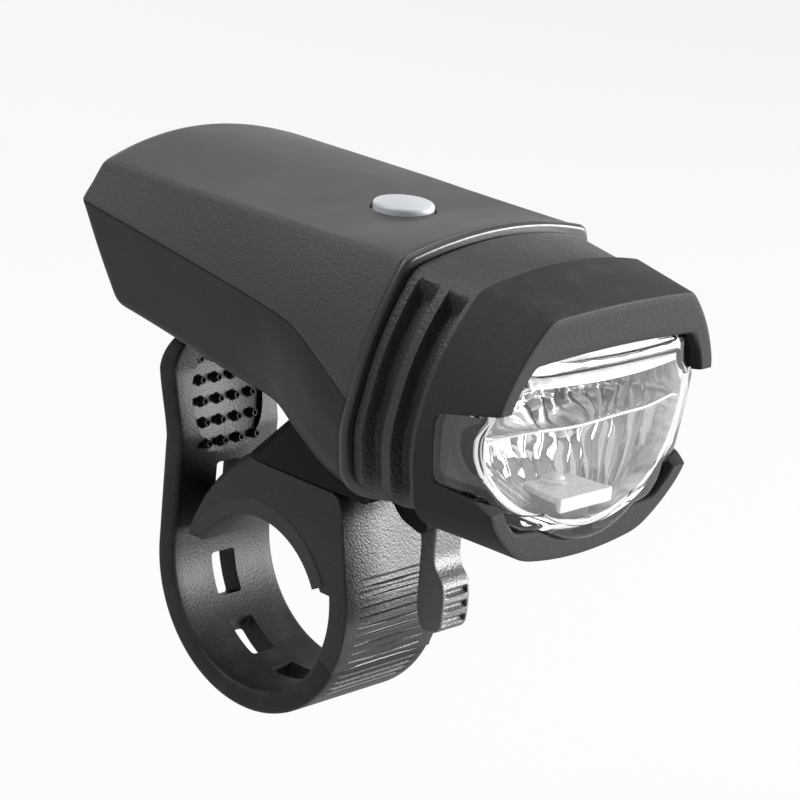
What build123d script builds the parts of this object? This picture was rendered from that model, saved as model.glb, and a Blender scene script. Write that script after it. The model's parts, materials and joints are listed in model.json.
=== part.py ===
"""Rechargeable bike headlight with a quick-release handlebar clamp.

Millimetres. +Z is up, the beam points along -Y, and the origin is the centre of the handlebar.
"""
from build123d import *
from collections import namedtuple
from math import cos, sin, radians, degrees, atan
import os

os.makedirs("parts", exist_ok=True)

# Handlebar, loop and strap
BAR_RADIUS = 12.7
BAR_SLACK = 0.05
LOOP_RADIUS = 16.0
LOOP_TURN = 68.0
STRAP_THICKNESS = 3.4
CLAMP_WIDTH = 19.6
HINGE_TURN = 205.0
PAD_THICKNESS = 1.3
PAD_START_TURN = 27.0
PAD_END_TURN = 153.0
PAD_SETBACK = 0.8

# Saddle above the bar
SADDLE_TOP_Z = 20.7
SADDLE_REAR_TOP_Y = 5.0
SADDLE_REAR_MID_Y = 11.3
SADDLE_REAR_MID_Z = 13.9
SADDLE_TIP_Y = 14.4
SADDLE_TIP_Z = 5.8
SADDLE_FRONT_TOP_Y = -13.5
SADDLE_BROW_Y = -15.6
SADDLE_BROW_Z = 18.4
FRONT_WALL_TURN = 150.0
HOOK_WIDTH = 3.9
HOOK_HEIGHT = 2.0
HOOK_REACH = 1.3

# Ribs on the front of the loop
RIB_PANEL_WIDTH = 14.0
RIB_PANEL_DEPTH = 0.3
RIB_RADIUS = 0.42
RIB_FIRST_TURN = 168.0
RIB_STEP_TURN = 4.2
RIB_COUNT = 15
RIB_HINGE_CLEARANCE_TURN = 1.6

# Strap slots, pull tab and its grip
SLOT_WIDTH = 4.5
SLOT_LENGTH = 6.5
SLOT_FIRST_TURN = -21.0
SLOT_STEP_TURN = -37.0
SLOT_COUNT = 3
HOOK_SLOT_CLEARANCE = 0.25
HOOK_SLOT_Z = 7.9
TAB_BEND_Z = 19.0
TAB_FLARE_Z = 28.5
TAB_TOP_Z = 34.2
TAB_FLARE = 2.4
TAB_NOSE = 0.8
TAB_CORNER_RADIUS = 6.0
DISH_HALF_WIDTH = 6.8
DISH_HALF_HEIGHT = 8.6
DISH_DEPTH = 0.7
STUD_RADIUS = 0.6
STUD_HEIGHT = 1.0
STUD_HOLLOW_RADIUS = 0.28
STUD_HOLLOW_DEPTH = 0.4
STUD_PITCH = 3.1
STUD_COLUMNS = 4
STUD_ROWS = 5

# Swivel between saddle and shoe
SEAM_GAP = 0.3
PIVOT_Y = -4.0
PIVOT_BOSS_RADIUS = 4.5
PIVOT_BOSS_HEIGHT = 2.7
PIVOT_CLEARANCE = 0.06
PIVOT_HEAD_RADIUS = 5.6
PIVOT_HEAD_HEIGHT = 1.1
PIVOT_HEAD_CLEARANCE = 0.25
PIVOT_SHANK_RADIUS = 1.5
PIVOT_SHANK_LENGTH = 7.5

# Shoe that the lamp slides onto
SHOE_FLOOR = 3.7
SHOE_REAR_FOOT_Y = 5.2
SHOE_REAR_LEAN_SHARE = 1.02
SHOE_GAP = 0.4
SHOE_STEP_Y = -19.7
SHOE_STEP_Z = 18.6
SHOE_TONGUE_WIDTH = 12.0
RAIL_FLANGE_HALF = 5.6
RAIL_FLANGE_HEIGHT = 2.0
RAIL_NECK_HALF = 3.8
RAIL_REAR_Y = -2.2
RAIL_FRONT_Y = -13.4
RAIL_CLEARANCE = 0.3
RAIL_SCREW_RADIUS = 1.0
RAIL_SCREW_HEAD_RADIUS = 1.9
RAIL_SCREW_HEAD_HEIGHT = 0.9
RAIL_SCREW_INSET = 3.0
RAIL_SCREW_BITE = 1.2

# Release lever
LEVER_PIVOT_Y = -24.8
LEVER_PIVOT_Z = 19.3
LEVER_WIDTH = 5.8
LEVER_EYE_RADIUS = 2.0
LEVER_PIN_RADIUS = 0.9
LEVER_PIN_CLEARANCE = 0.06
LEVER_SIDE_CLEARANCE = 0.35
LEVER_ARM_DEPTH = 2.6
LEVER_GRIP_Z = 11.2
LEVER_FOOT_Z = 3.0
LEVER_GRIP_FRONT_Y = -29.2
LEVER_GRIP_DEPTH = 4.2
LEVER_ROUND = 1.2
LEVER_RIB_RADIUS = 0.45
LEVER_RIB_PITCH = 1.7
LEVER_RIB_COUNT = 3

# Lamp body
LAMP_FOOT_Z = 22.0
LAMP_DEPTH = 36.8
LAMP_HALF_WIDTH = 22.0
MID_Z = 40.0
REAR_Y = 30.0
RIM_Y = -26.5
RIM_LEAN = 0.163
TOP_CROWN = 2.3
HOUSING_WALL = 1.8
PARTING_GAP = 0.35
GASKET_SETBACK = 0.6
REAR_CREASE_Y = 31.6
REAR_CREASE_DROP = 5.4
REAR_TOP_LEAN_SHARE = 0.30
REAR_FOOT_LEAN_SHARE = 0.33
REAR_BOW_RADIUS = 80.0
OVERRUN = 6.0

# Rim ring, ribbed neck, bezel
RIM_RING_WIDTH = 1.4
RIM_RING_PROUD = 0.3
NECK_INSET = 0.9
NECK_WALL = 3.6
NECK_REAR_SPIGOT = 2.0
NECK_FRONT_SPIGOT = 1.5
SPIGOT_CLEARANCE = 0.1
GROOVE_WIDTH = 2.7
GROOVE_DEPTH = 2.0
GROOVE_PITCH = 5.0
GROOVE_FIRST = 3.6
GROOVE_COUNT = 2
GROOVE_TOP_DROP = 0.8
BEZEL_REAR_Y = -39.3
BEZEL_REAR_LEAN = 0.132
BEZEL_FRONT_Y = -51.3
BEZEL_FRONT_LEAN = 0.094
BEZEL_REAR_CROWN = 1.8
BEZEL_FRONT_CROWN = 0.5
BEZEL_WALL = 1.9
BEZEL_FACE = 1.7

# Side windows and lens
WINDOW_REAR_Y = -41.9
WINDOW_TOP_REAR_DROP = 16.5
WINDOW_TOP_FRONT_DROP = 14.4
WINDOW_FOOT_REAR_RISE = 10.8
WINDOW_FOOT_MID_Y = -48.4
WINDOW_FOOT_MID_RISE = 9.8
WINDOW_FOOT_FRONT_Y = -50.7
WINDOW_FOOT_FRONT_RISE = 8.5
LENS_TOP_INSET = 6.6
LENS_TOP_DROP = 8.8
LENS_TOP_CROWN = 0.5
LENS_SHOULDER_INSET = 2.8
LENS_FOOT_INSET = 8.6
LENS_FOOT_RISE = 4.8
LENS_ARC_INSET = 13.0
LENS_ARC_RISE = 4.6
LENS_BOTTOM_RISE = 1.9
LENS_FRONT_Y = -53.0
LENS_BOW_RADIUS = 54.6
LENS_WALL = 1.8
LENS_CLEARANCE = 0.15
LENS_SEAL_DEPTH = 1.0

# Reflector and light engine
REFLECTOR_FRONT_SETBACK = 0.5
REFLECTOR_REAR_Y = -35.0
REFLECTOR_CLEARANCE = 0.4
BOWL_RIM = 0.9
BOWL_REAR_Y = -37.0
BOWL_REAR_SHARE = 0.7
SPLIT_DROP = 18.0
SPLIT_WEB = 0.8
FLUTE_RADIUS = 2.3
FLUTE_PITCH = 3.6
FLUTE_COUNT = 5
FLUTE_SETBACK = 1.3
LED_BOARD_FRONT_HALF = 5.0
LED_BOARD_REAR_HALF = 3.6
LED_BOARD_FRONT_Y = -47.0
LED_BOARD_RISE = 5.5
LED_BOARD_THICKNESS = 1.0
LED_BOARD_CLEARANCE = 0.15
LED_SIZE = 3.4
LED_BASE_HEIGHT = 0.6
LED_DOME_RADIUS = 1.3
LED_Y = -42.5
SINK_THICKNESS = 3.0
SINK_CLEARANCE = 0.15
SINK_FIN_COUNT = 5
SINK_FIN_THICKNESS = 1.2
SINK_FIN_LENGTH = 6.0
SINK_FIN_PITCH = 5.0

# Button and control board
BUTTON_X = 0.0
BUTTON_Y = -12.9
BUTTON_RADIUS = 4.2
BUTTON_CLEARANCE = 0.3
BUTTON_PROUD = 1.3
BUTTON_DOME = 0.5
BUTTON_TRAVEL = 0.5
BUTTON_FLANGE_RADIUS = 5.1
BUTTON_FLANGE_HEIGHT = 0.6
BUTTON_STEM_RADIUS = 1.0
BOARD_DROP = 4.8
BOARD_THICKNESS = 1.0
BOARD_HALF_WIDTH = 12.5
BOARD_REAR_Y = 18.0
BOARD_FRONT_Y = -16.2
BOARD_POST_RADIUS = 1.9
BOARD_POST_INSET = 2.4
BOARD_SCREW_RADIUS = 0.7
BOARD_SCREW_HEAD_RADIUS = 1.4
BOARD_SCREW_HEAD_HEIGHT = 0.8
BOARD_SCREW_LENGTH = 2.0
SWITCH_SIZE = 4.6
SWITCH_HEIGHT = 1.3
SWITCH_PLUNGER_RADIUS = 1.1
SWITCH_PLUNGER_CLEARANCE = 0.06
STATUS_LED_SIZE = 1.2
STATUS_LED_HEIGHT = 0.6
STATUS_LED_OFFSET = 3.3

# Battery
CELL_LENGTH = 32.0
CELL_WIDTH = 27.0
CELL_HEIGHT = 10.4
CELL_FRONT_Y = -15.0
CELL_PAD_THICKNESS = 1.4
CELL_ROUND = 2.5
TRAY_THICKNESS = 1.2
TRAY_MARGIN = 1.0
TRAY_LIP_HEIGHT = 2.5
TRAY_CLEARANCE = 0.2
TRAY_RIB_THICKNESS = 1.4
TRAY_RIB_SHARES = (0.08, 0.5, 0.92)
TAB_STRIP_WIDTH = 4.0
TAB_STRIP_THICKNESS = 0.3
TAB_STRIP_OFFSET = 7.0
CELL_PAD_CLEARANCE = 0.2

# Charging port and its cover
CHARGE_BOARD_DROP = 9.8
CHARGE_BOARD_THICKNESS = 0.8
CHARGE_BOARD_HALF_WIDTH = 7.0
CHARGE_BOARD_FRONT_Y = 18.6
CHARGE_BOARD_REAR_Y = 25.4
CHARGE_SHELF_THICKNESS = 1.2
CHARGE_SHELF_CLEARANCE = 0.1
PORT_WIDTH = 8.9
PORT_HEIGHT = 3.2
PORT_LENGTH = 7.2
PORT_WALL = 0.3
PORT_PROUD = 1.4
PORT_HOLE_CLEARANCE = 0.35
PORT_TONGUE_HEIGHT = 0.7
COVER_WIDTH = 14.0
COVER_HEIGHT = 8.4
COVER_THICKNESS = 1.3
COVER_PROUD = 0.35
COVER_CLEARANCE = 0.3
COVER_CORNER = 2.0

# Housing screws
SCREW_RADIUS = 1.1
SCREW_HEAD_RADIUS = 2.0
SCREW_HEAD_HEIGHT = 1.4
SCREW_HEAD_CLEARANCE = 0.3
SCREW_BOSS_RADIUS = 2.7
SCREW_BOSS_GAP = 0.1
SCREW_REAR_X = 11.5
SCREW_REAR_Y = 22.4
SCREW_FRONT_X = 12.5
SCREW_FRONT_Y = -19.2
SCREW_BITE = 4.0
SCREW_TIP_CLEARANCE = 0.5

Station = namedtuple("Station", "y lean crown top_half top_z crease_half crease_z flank_half flank_z "
                                "edge_half edge_z belly_z top_bulge crease_bulge flank_bulge")

# Each row, from the rear to the rim: its place along the body, its lean and its crown. Then, for the
# top corner, the crease, the flank and the lower edge, a half width as a share of the lamp's, and a
# drop below the top as a share of the lamp's depth. Last come the belly's drop and three bulges.
BODY_SHARES = (
    (-0.10, 0.00, 1.45, 0.832, -0.006, 0.968, 0.125, 0.877, 0.337, 0.773, 0.522, 0.565, 0.00, 0.00, 0.00),
    (0.12, 0.00, 1.15, 0.832, -0.006, 0.973, 0.168, 0.882, 0.364, 0.773, 0.560, 0.603, 0.00, 0.00, 0.00),
    (0.53, 0.00, 0.35, 0.832, -0.004, 0.982, 0.255, 0.891, 0.457, 0.777, 0.658, 0.704, 0.01, 0.00, 0.00),
    (0.67, 0.05, 0.17, 0.815, -0.003, 0.986, 0.288, 0.905, 0.489, 0.777, 0.690, 0.742, 0.02, 0.00, 0.01),
    (0.78, 0.30, 0.17, 0.805, -0.002, 0.991, 0.323, 0.936, 0.554, 0.768, 0.785, 0.840, 0.03, 0.01, 0.03),
    (0.89, 0.60, 0.50, 0.794, -0.001, 0.995, 0.418, 0.964, 0.647, 0.736, 0.875, 0.929, 0.04, 0.02, 0.05),
    (1.00, 1.00, 1.00, 0.782, 0.000, 1.000, 0.524, 0.973, 0.720, 0.664, 0.929, 1.000, 0.05, 0.02, 0.07),
)
BEZEL_REAR_SHARES = (0.709, 0.038, 1.005, 0.446, 0.955, 0.745, 0.659, 0.940, 1.005, 0.055, 0.03, 0.07)
BEZEL_FRONT_SHARES = (0.623, 0.076, 0.955, 0.391, 0.886, 0.769, 0.527, 0.981, 1.016, 0.04, 0.012, 0.03)

# How far each corner moves, as a share of the distance that an outline is drawn in by
TOP_INSET_SHARE = 0.7
EDGE_INSET_SHARE = 0.7
EDGE_RISE_SHARE = 0.8
LENS_CORNER_SHARE = 0.7
LENS_SIDE_SHARE = 0.3
LENS_ARC_SHARE = 0.2

CENTRE_X = 0.0
BAR_CENTRE = (0.0, 0.0)
LOOP_SHIFT = LOOP_RADIUS - BAR_RADIUS - BAR_SLACK
LOOP_Y = LOOP_SHIFT * cos(radians(LOOP_TURN))
LOOP_Z = LOOP_SHIFT * sin(radians(LOOP_TURN))
LOOP_OUTER = LOOP_RADIUS + STRAP_THICKNESS
SADDLE_BORE = BAR_RADIUS + PAD_THICKNESS
HALF_CLAMP = CLAMP_WIDTH / 2
TOP_Z = LAMP_FOOT_Z + LAMP_DEPTH
REAR_CREASE_Z = TOP_Z - REAR_CREASE_DROP
WINDOW_TOP_REAR_Z = TOP_Z - WINDOW_TOP_REAR_DROP
WINDOW_TOP_FRONT_Z = TOP_Z - WINDOW_TOP_FRONT_DROP
WINDOW_FOOT_REAR_Z = LAMP_FOOT_Z + WINDOW_FOOT_REAR_RISE
WINDOW_FOOT_MID_Z = LAMP_FOOT_Z + WINDOW_FOOT_MID_RISE
WINDOW_FOOT_FRONT_Z = LAMP_FOOT_Z + WINDOW_FOOT_FRONT_RISE
LENS_TOP_HALF = LAMP_HALF_WIDTH - LENS_TOP_INSET
LENS_TOP_Z = TOP_Z - LENS_TOP_DROP
LENS_SHOULDER_HALF = LAMP_HALF_WIDTH - LENS_SHOULDER_INSET
LENS_FOOT_HALF = LAMP_HALF_WIDTH - LENS_FOOT_INSET
LENS_FOOT_Z = LAMP_FOOT_Z + LENS_FOOT_RISE
LENS_ARC_HALF = LAMP_HALF_WIDTH - LENS_ARC_INSET
LENS_ARC_Z = LAMP_FOOT_Z + LENS_ARC_RISE
LENS_BOTTOM_Z = LAMP_FOOT_Z + LENS_BOTTOM_RISE
SPLIT_Z = TOP_Z - SPLIT_DROP
LED_BOARD_Z = LENS_BOTTOM_Z + LED_BOARD_RISE
BOARD_TOP_Z = TOP_Z - BOARD_DROP
CELL_FOOT_Z = BOARD_TOP_Z - BOARD_THICKNESS - CELL_PAD_THICKNESS - CELL_HEIGHT
CHARGE_BOARD_Z = REAR_CREASE_Z - CHARGE_BOARD_DROP


# Shared helpers

def station_from(y, lean, crown, shares):
    """A cross-section's sizes from its row of shares."""
    widths = [share * LAMP_HALF_WIDTH for share in (shares[0], shares[2], shares[4], shares[6])]
    drops = (shares[1], shares[3], shares[5], shares[7], shares[8])
    heights = [TOP_Z - share * LAMP_DEPTH for share in drops]
    bulges = [share * LAMP_HALF_WIDTH for share in shares[9:]]
    return Station(y, lean, crown, widths[0], heights[0], widths[1], heights[1], widths[2], heights[2],
                   widths[3], heights[3], heights[4], *bulges)


def body_station(row):
    """A cross-section of the body, from a row of BODY_SHARES."""
    along, lean_share, crown_share, *rest = row
    y = REAR_Y + along * (RIM_Y - REAR_Y)
    return station_from(y, lean_share * RIM_LEAN, crown_share * TOP_CROWN, rest)


BODY = [body_station(row) for row in BODY_SHARES]
RIM = BODY[-1]
BEZEL_REAR = station_from(BEZEL_REAR_Y, BEZEL_REAR_LEAN, BEZEL_REAR_CROWN, BEZEL_REAR_SHARES)
BEZEL_FRONT = station_from(BEZEL_FRONT_Y, BEZEL_FRONT_LEAN, BEZEL_FRONT_CROWN, BEZEL_FRONT_SHARES)


def on_station(station, x, z):
    """A point of the leaning cross-section."""
    return Vector(x, station.y - station.lean * (z - MID_Z), z)


def bowed(station, start, end, bulge):
    """An edge between two (x, z) points, bulging outwards by the given height."""
    a, b = on_station(station, *start), on_station(station, *end)
    if bulge <= 0:
        return Line(a, b)
    dx, dz = end[0] - start[0], end[1] - start[1]
    long = (dx * dx + dz * dz) ** 0.5
    x = (start[0] + end[0]) / 2 - dz / long * bulge
    z = (start[1] + end[1]) / 2 + dx / long * bulge
    return ThreePointArc(a, on_station(station, x, z), b)


def section(station, inset=0.0):
    """The closed face of a cross-section, drawn in by inset all round."""
    top = (station.top_half - TOP_INSET_SHARE * inset, station.top_z - inset)
    crease = (station.crease_half - inset, station.crease_z)
    flank = (station.flank_half - inset, station.flank_z)
    edge = (station.edge_half - EDGE_INSET_SHARE * inset, station.edge_z + EDGE_RISE_SHARE * inset)
    belly_z = station.belly_z + inset
    right = [top, crease, flank, edge]
    left = [(-x, z) for x, z in reversed(right)]
    bulges = (station.top_bulge, station.crease_bulge, station.flank_bulge)
    edges = [ThreePointArc(on_station(station, *left[-1]),
                           on_station(station, CENTRE_X, top[1] + station.crown),
                           on_station(station, *top))]
    edges += [bowed(station, a, b, bulge) for a, b, bulge in zip(right, right[1:], bulges)]
    edges.append(ThreePointArc(on_station(station, *edge), on_station(station, CENTRE_X, belly_z),
                               on_station(station, *left[0])))
    edges += [bowed(station, a, b, bulge) for a, b, bulge in zip(left, left[1:], reversed(bulges))]
    return Face(Wire(edges))


def tube_of(stations, inset=0.0):
    """The solid through a run of cross-sections."""
    return loft([section(station, inset) for station in stations], ruled=True)


def shifted(station, ahead):
    """The same cross-section moved along the lamp, forwards for a positive distance."""
    return station._replace(y=station.y - ahead)


def between(first, second, share):
    """The cross-section a share of the way from one to another."""
    return Station(*[a + share * (b - a) for a, b in zip(first, second)])


def block(x0, x1, y0, y1, z0, z1):
    """A box between two corners."""
    return Pos((x0 + x1) / 2, (y0 + y1) / 2, (z0 + z1) / 2) * Box(x1 - x0, y1 - y0, z1 - z0)


def post(x, y, z0, z1, radius):
    """An upright round bar."""
    return Pos(x, y, (z0 + z1) / 2) * Cylinder(radius, z1 - z0)


def side_profile(points, half_width):
    """A prism along X with the given outline of (y, z) points."""
    outline = make_face(Plane.YZ * Polyline(*points, close=True))
    return extrude(outline, half_width, both=True)


def front_prism(outline, y0, y1):
    """A prism along Y from a face that lies in the plane y = 0."""
    return Pos(CENTRE_X, y0, 0) * extrude(outline, y1 - y0, dir=(0, 1, 0))


def loop_point(turn, radius):
    """The (y, z) point of the loop at an angle from the rear, counted over the top."""
    return (LOOP_Y + radius * cos(radians(turn)), LOOP_Z + radius * sin(radians(turn)))


def ring_sector(start, end, inner, outer, half_width, centre=(LOOP_Y, LOOP_Z)):
    """A part of a ring about an axis along X, from one angle to another."""
    middle = (start + end) / 2
    y, z = centre

    def at(turn, radius):
        return (y + radius * cos(radians(turn)), z + radius * sin(radians(turn)))

    outline = [ThreePointArc(at(start, outer), at(middle, outer), at(end, outer)),
               Line(at(end, outer), at(end, inner)),
               ThreePointArc(at(end, inner), at(middle, inner), at(start, inner)),
               Line(at(start, inner), at(start, outer))]
    return extrude(Plane.YZ * make_face(outline), half_width, both=True)


# Lamp body

def rear_plan(z, inset=0.0):
    """The plan outline that rounds the rear end, at one height."""
    lean = REAR_TOP_LEAN_SHARE if z > REAR_CREASE_Z else -REAR_FOOT_LEAN_SHARE
    rear = REAR_CREASE_Y - inset - lean * (z - REAR_CREASE_Z)
    half = LAMP_HALF_WIDTH + OVERRUN
    sag = REAR_BOW_RADIUS - (REAR_BOW_RADIUS ** 2 - half ** 2) ** 0.5
    front = BEZEL_FRONT_Y - OVERRUN
    edges = [ThreePointArc((-half, rear - sag, z), (CENTRE_X, rear, z), (half, rear - sag, z)),
             Line((half, rear - sag, z), (half, front, z)),
             Line((half, front, z), (-half, front, z)),
             Line((-half, front, z), (-half, rear - sag, z))]
    return Face(Wire(edges))


def rear_trim(inset=0.0):
    """The space in front of the rear end's curved face."""
    low = TOP_Z - LAMP_DEPTH - OVERRUN
    high = TOP_Z + TOP_CROWN + OVERRUN
    return loft([rear_plan(z, inset) for z in (low, REAR_CREASE_Z, high)], ruled=True)


def body_block(inset=0.0):
    """The lamp body's full shape, drawn in by inset."""
    return tube_of(BODY, inset) & rear_trim(inset)


def parting_region(drop, upwards):
    """The space above or below the parting line that follows the crease."""
    line = [(station.y - station.lean * (station.crease_z - MID_Z), station.crease_z - drop)
            for station in BODY]
    line[0] = (line[0][0] + OVERRUN, line[0][1])
    line.append((line[-1][0] - OVERRUN, line[-1][1]))
    far = TOP_Z + LAMP_DEPTH if upwards else TOP_Z - LAMP_DEPTH - OVERRUN
    return side_profile(line + [(line[-1][0], far), (line[0][0], far)], LAMP_HALF_WIDTH + OVERRUN)


def screw_places():
    """The four (x, y) places of the housing screws."""
    return [(side * x, y) for x, y in ((SCREW_REAR_X, SCREW_REAR_Y), (SCREW_FRONT_X, SCREW_FRONT_Y))
            for side in (-1, 1)]


def height_along(line, y):
    """The height of a line of (y, z) points at a place along the lamp."""
    for (y0, z0), (y1, z1) in zip(line, line[1:]):
        if y1 <= y <= y0:
            return z0 + (z1 - z0) * (y - y0) / (y1 - y0)
    return line[-1][1]


def crease_height(y):
    """The parting line's height at a place along the lamp."""
    return height_along([(s.y - s.lean * (s.crease_z - MID_Z), s.crease_z) for s in BODY], y)


def belly_height(y):
    """The belly's height on the centre line at a place along the lamp."""
    return height_along([(s.y - s.lean * (s.belly_z - MID_Z), s.belly_z) for s in BODY], y)


def top_height(y):
    """The top's height on the centre line at a place along the lamp."""
    heights = [s.top_z + s.crown for s in BODY]
    return height_along([(s.y - s.lean * (z - MID_Z), z) for s, z in zip(BODY, heights)], y)


def board_post_places():
    """The four corners of the control board that are screwed to posts."""
    x = BOARD_HALF_WIDTH - BOARD_POST_INSET
    return [(side * x, y) for y in (BOARD_REAR_Y - BOARD_POST_INSET, BOARD_FRONT_Y + BOARD_POST_INSET)
            for side in (-1, 1)]


def upper_housing():
    """The top cover, with its button hole, board posts and screw bosses."""
    full, hollow = body_block(), body_block(HOUSING_WALL)
    above = parting_region(0.0, True)
    cover = (full - hollow) & above
    inside = hollow & above
    for x, y in board_post_places():
        cover += post(x, y, BOARD_TOP_Z, TOP_Z + TOP_CROWN + OVERRUN, BOARD_POST_RADIUS) & full
        cover -= post(x, y, BOARD_TOP_Z - OVERRUN, BOARD_TOP_Z + BOARD_SCREW_LENGTH, BOARD_SCREW_RADIUS)
    for x, y in screw_places():
        foot = crease_height(y) + SCREW_BOSS_GAP
        cover += post(x, y, foot, TOP_Z + TOP_CROWN + OVERRUN, SCREW_BOSS_RADIUS) & inside
        cover -= post(x, y, foot - OVERRUN, foot + SCREW_BITE + SCREW_TIP_CLEARANCE, SCREW_RADIUS) & inside
    hole = post(BUTTON_X, BUTTON_Y, BOARD_TOP_Z, TOP_Z + TOP_CROWN + OVERRUN,
                BUTTON_RADIUS + BUTTON_CLEARANCE)
    return cover - hole


def lower_housing():
    """The lower shell, with its screw bosses, charge-port opening and cover recess."""
    full, hollow = body_block(), body_block(HOUSING_WALL)
    below = parting_region(PARTING_GAP, False)
    shell = (full - hollow) & below
    inside = hollow & below
    for x, y in screw_places():
        top = crease_height(y) - SCREW_BOSS_GAP
        shell += post(x, y, TOP_Z - LAMP_DEPTH - OVERRUN, top, SCREW_BOSS_RADIUS) & (inside + shell)
        shell -= post(x, y, TOP_Z - LAMP_DEPTH - OVERRUN, top + OVERRUN, SCREW_RADIUS)
        shell -= post(x, y, TOP_Z - LAMP_DEPTH - OVERRUN, screw_seat(y),
                      SCREW_HEAD_RADIUS + SCREW_HEAD_CLEARANCE)
    for y in rail_screw_places():
        shell -= post(CENTRE_X, y, TOP_Z - LAMP_DEPTH, belly_height(y) + RAIL_SCREW_BITE, RAIL_SCREW_RADIUS)
    shelf = block(-CHARGE_BOARD_HALF_WIDTH, CHARGE_BOARD_HALF_WIDTH, CHARGE_BOARD_FRONT_Y,
                  REAR_CREASE_Y, CHARGE_BOARD_Z - CHARGE_SHELF_THICKNESS, CHARGE_BOARD_Z)
    shell += shelf & inside
    recess = Box(COVER_WIDTH + 2 * COVER_CLEARANCE, COVER_HEIGHT + 2 * COVER_CLEARANCE, OVERRUN,
                 align=(Align.CENTER, Align.CENTER, Align.MIN))
    shell -= cover_plane() * Pos(0, 0, COVER_PROUD - COVER_THICKNESS - COVER_CLEARANCE) * recess
    port = PORT_WIDTH / 2 + PORT_HOLE_CLEARANCE
    shell -= block(-port, port, CHARGE_BOARD_REAR_Y, REAR_Y + OVERRUN,
                   CHARGE_BOARD_Z + CHARGE_BOARD_THICKNESS - PORT_HOLE_CLEARANCE,
                   CHARGE_BOARD_Z + CHARGE_BOARD_THICKNESS + PORT_HEIGHT + PORT_HOLE_CLEARANCE)
    return shell


def screw_seat(y):
    """The height at which a housing screw's head seats."""
    return belly_height(y) + HOUSING_WALL + SCREW_HEAD_HEIGHT


def housing_screws():
    """Four screws from the belly into the top cover."""
    screws = []
    for x, y in screw_places():
        tip = crease_height(y) + SCREW_BOSS_GAP + SCREW_BITE
        seat = screw_seat(y)
        screws.append(post(x, y, seat, tip, SCREW_RADIUS)
                      + post(x, y, seat - SCREW_HEAD_HEIGHT, seat, SCREW_HEAD_RADIUS))
    return screws


def housing_gasket():
    """The seal in the parting line, set back from the outside."""
    ring = body_block(GASKET_SETBACK) - body_block(HOUSING_WALL)
    return ring & parting_region(0.0, False) & parting_region(PARTING_GAP, True)


# Front of the lamp

def rim_ring():
    """The bead between the body and the neck."""
    ahead = shifted(RIM, RIM_RING_WIDTH)
    return tube_of([RIM, ahead], -RIM_RING_PROUD) - tube_of(
        [shifted(RIM, -OVERRUN), shifted(RIM, OVERRUN)], HOUSING_WALL)


def groove(place):
    """The cutter of one cooling groove, which leaves the top face whole."""
    share = place / (RIM_Y - BEZEL_REAR_Y)
    width_share = GROOVE_WIDTH / (RIM_Y - BEZEL_REAR_Y)
    start, end = between(RIM, BEZEL_REAR, share), between(RIM, BEZEL_REAR, share + width_share)
    cutter = tube_of([start, end], -OVERRUN) - tube_of([shifted(start, -OVERRUN), shifted(end, OVERRUN)],
                                                       NECK_INSET + GROOVE_DEPTH)
    reach = LAMP_HALF_WIDTH + OVERRUN
    return cutter & block(-reach, reach, BEZEL_FRONT_Y, RIM_Y + OVERRUN, TOP_Z - LAMP_DEPTH - OVERRUN,
                          start.top_z - NECK_INSET - GROOVE_TOP_DROP)


def neck_housing():
    """The ribbed neck that carries the bezel, with a spigot into the body and one into the bezel."""
    rear = shifted(RIM, RIM_RING_WIDTH)
    neck = tube_of([rear, BEZEL_REAR], NECK_INSET) - tube_of([rear, BEZEL_REAR], NECK_WALL + NECK_INSET)
    for number in range(GROOVE_COUNT):
        neck -= groove(GROOVE_FIRST + number * GROOVE_PITCH)
    bore = NECK_WALL + NECK_INSET
    front_share = NECK_FRONT_SPIGOT / (BEZEL_REAR_Y - BEZEL_FRONT_Y)
    front = [BEZEL_REAR, between(BEZEL_REAR, BEZEL_FRONT, 2 * front_share)]
    spigot = tube_of(front, BEZEL_WALL + SPIGOT_CLEARANCE) - tube_of(front, bore)
    neck += spigot - ahead_of(NECK_FRONT_SPIGOT)
    rear_share = NECK_REAR_SPIGOT / (BODY[-2].y - RIM_Y)
    back = [between(RIM, BODY[-2], rear_share), RIM, rear]
    neck += tube_of(back, HOUSING_WALL + SPIGOT_CLEARANCE) - tube_of(back, bore)
    return neck


def lens_outline(margin=0.0):
    """The lens's front outline in the plane y = 0, drawn in by margin."""
    m = margin
    top = (LENS_TOP_HALF - LENS_CORNER_SHARE * m, LENS_TOP_Z - m)
    shoulder = (LENS_SHOULDER_HALF - m, WINDOW_TOP_FRONT_Z - LENS_SIDE_SHARE * m)
    hip = (LENS_SHOULDER_HALF - m, WINDOW_FOOT_FRONT_Z + LENS_SIDE_SHARE * m)
    foot = (LENS_FOOT_HALF - LENS_CORNER_SHARE * m, LENS_FOOT_Z + m)
    arc = (LENS_ARC_HALF - LENS_ARC_SHARE * m, LENS_ARC_Z + m)
    right = [top, shoulder, hip, foot, arc]
    left = [(-x, z) for x, z in reversed(right)]
    p = [Vector(x, 0, z) for x, z in right]
    q = [Vector(x, 0, z) for x, z in left]
    edges = [ThreePointArc(q[-1], Vector(CENTRE_X, 0, top[1] + LENS_TOP_CROWN), p[0])]
    edges += [Line(a, b) for a, b in zip(p, p[1:])]
    edges.append(ThreePointArc(p[-1], Vector(CENTRE_X, 0, LENS_BOTTOM_Z + m), q[0]))
    edges += [Line(a, b) for a, b in zip(q, q[1:])]
    return Face(Wire(edges))


def lens_front(setback=0.0):
    """The space behind the lens's bowed front face."""
    height = LAMP_DEPTH + 2 * OVERRUN
    tilt = degrees(atan(BEZEL_FRONT_LEAN))
    drum = Cylinder(LENS_BOW_RADIUS - setback, height)
    return Pos(CENTRE_X, LENS_FRONT_Y, MID_Z) * Rot(tilt, 0, 0) * Pos(0, LENS_BOW_RADIUS, 0) * drum


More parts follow.
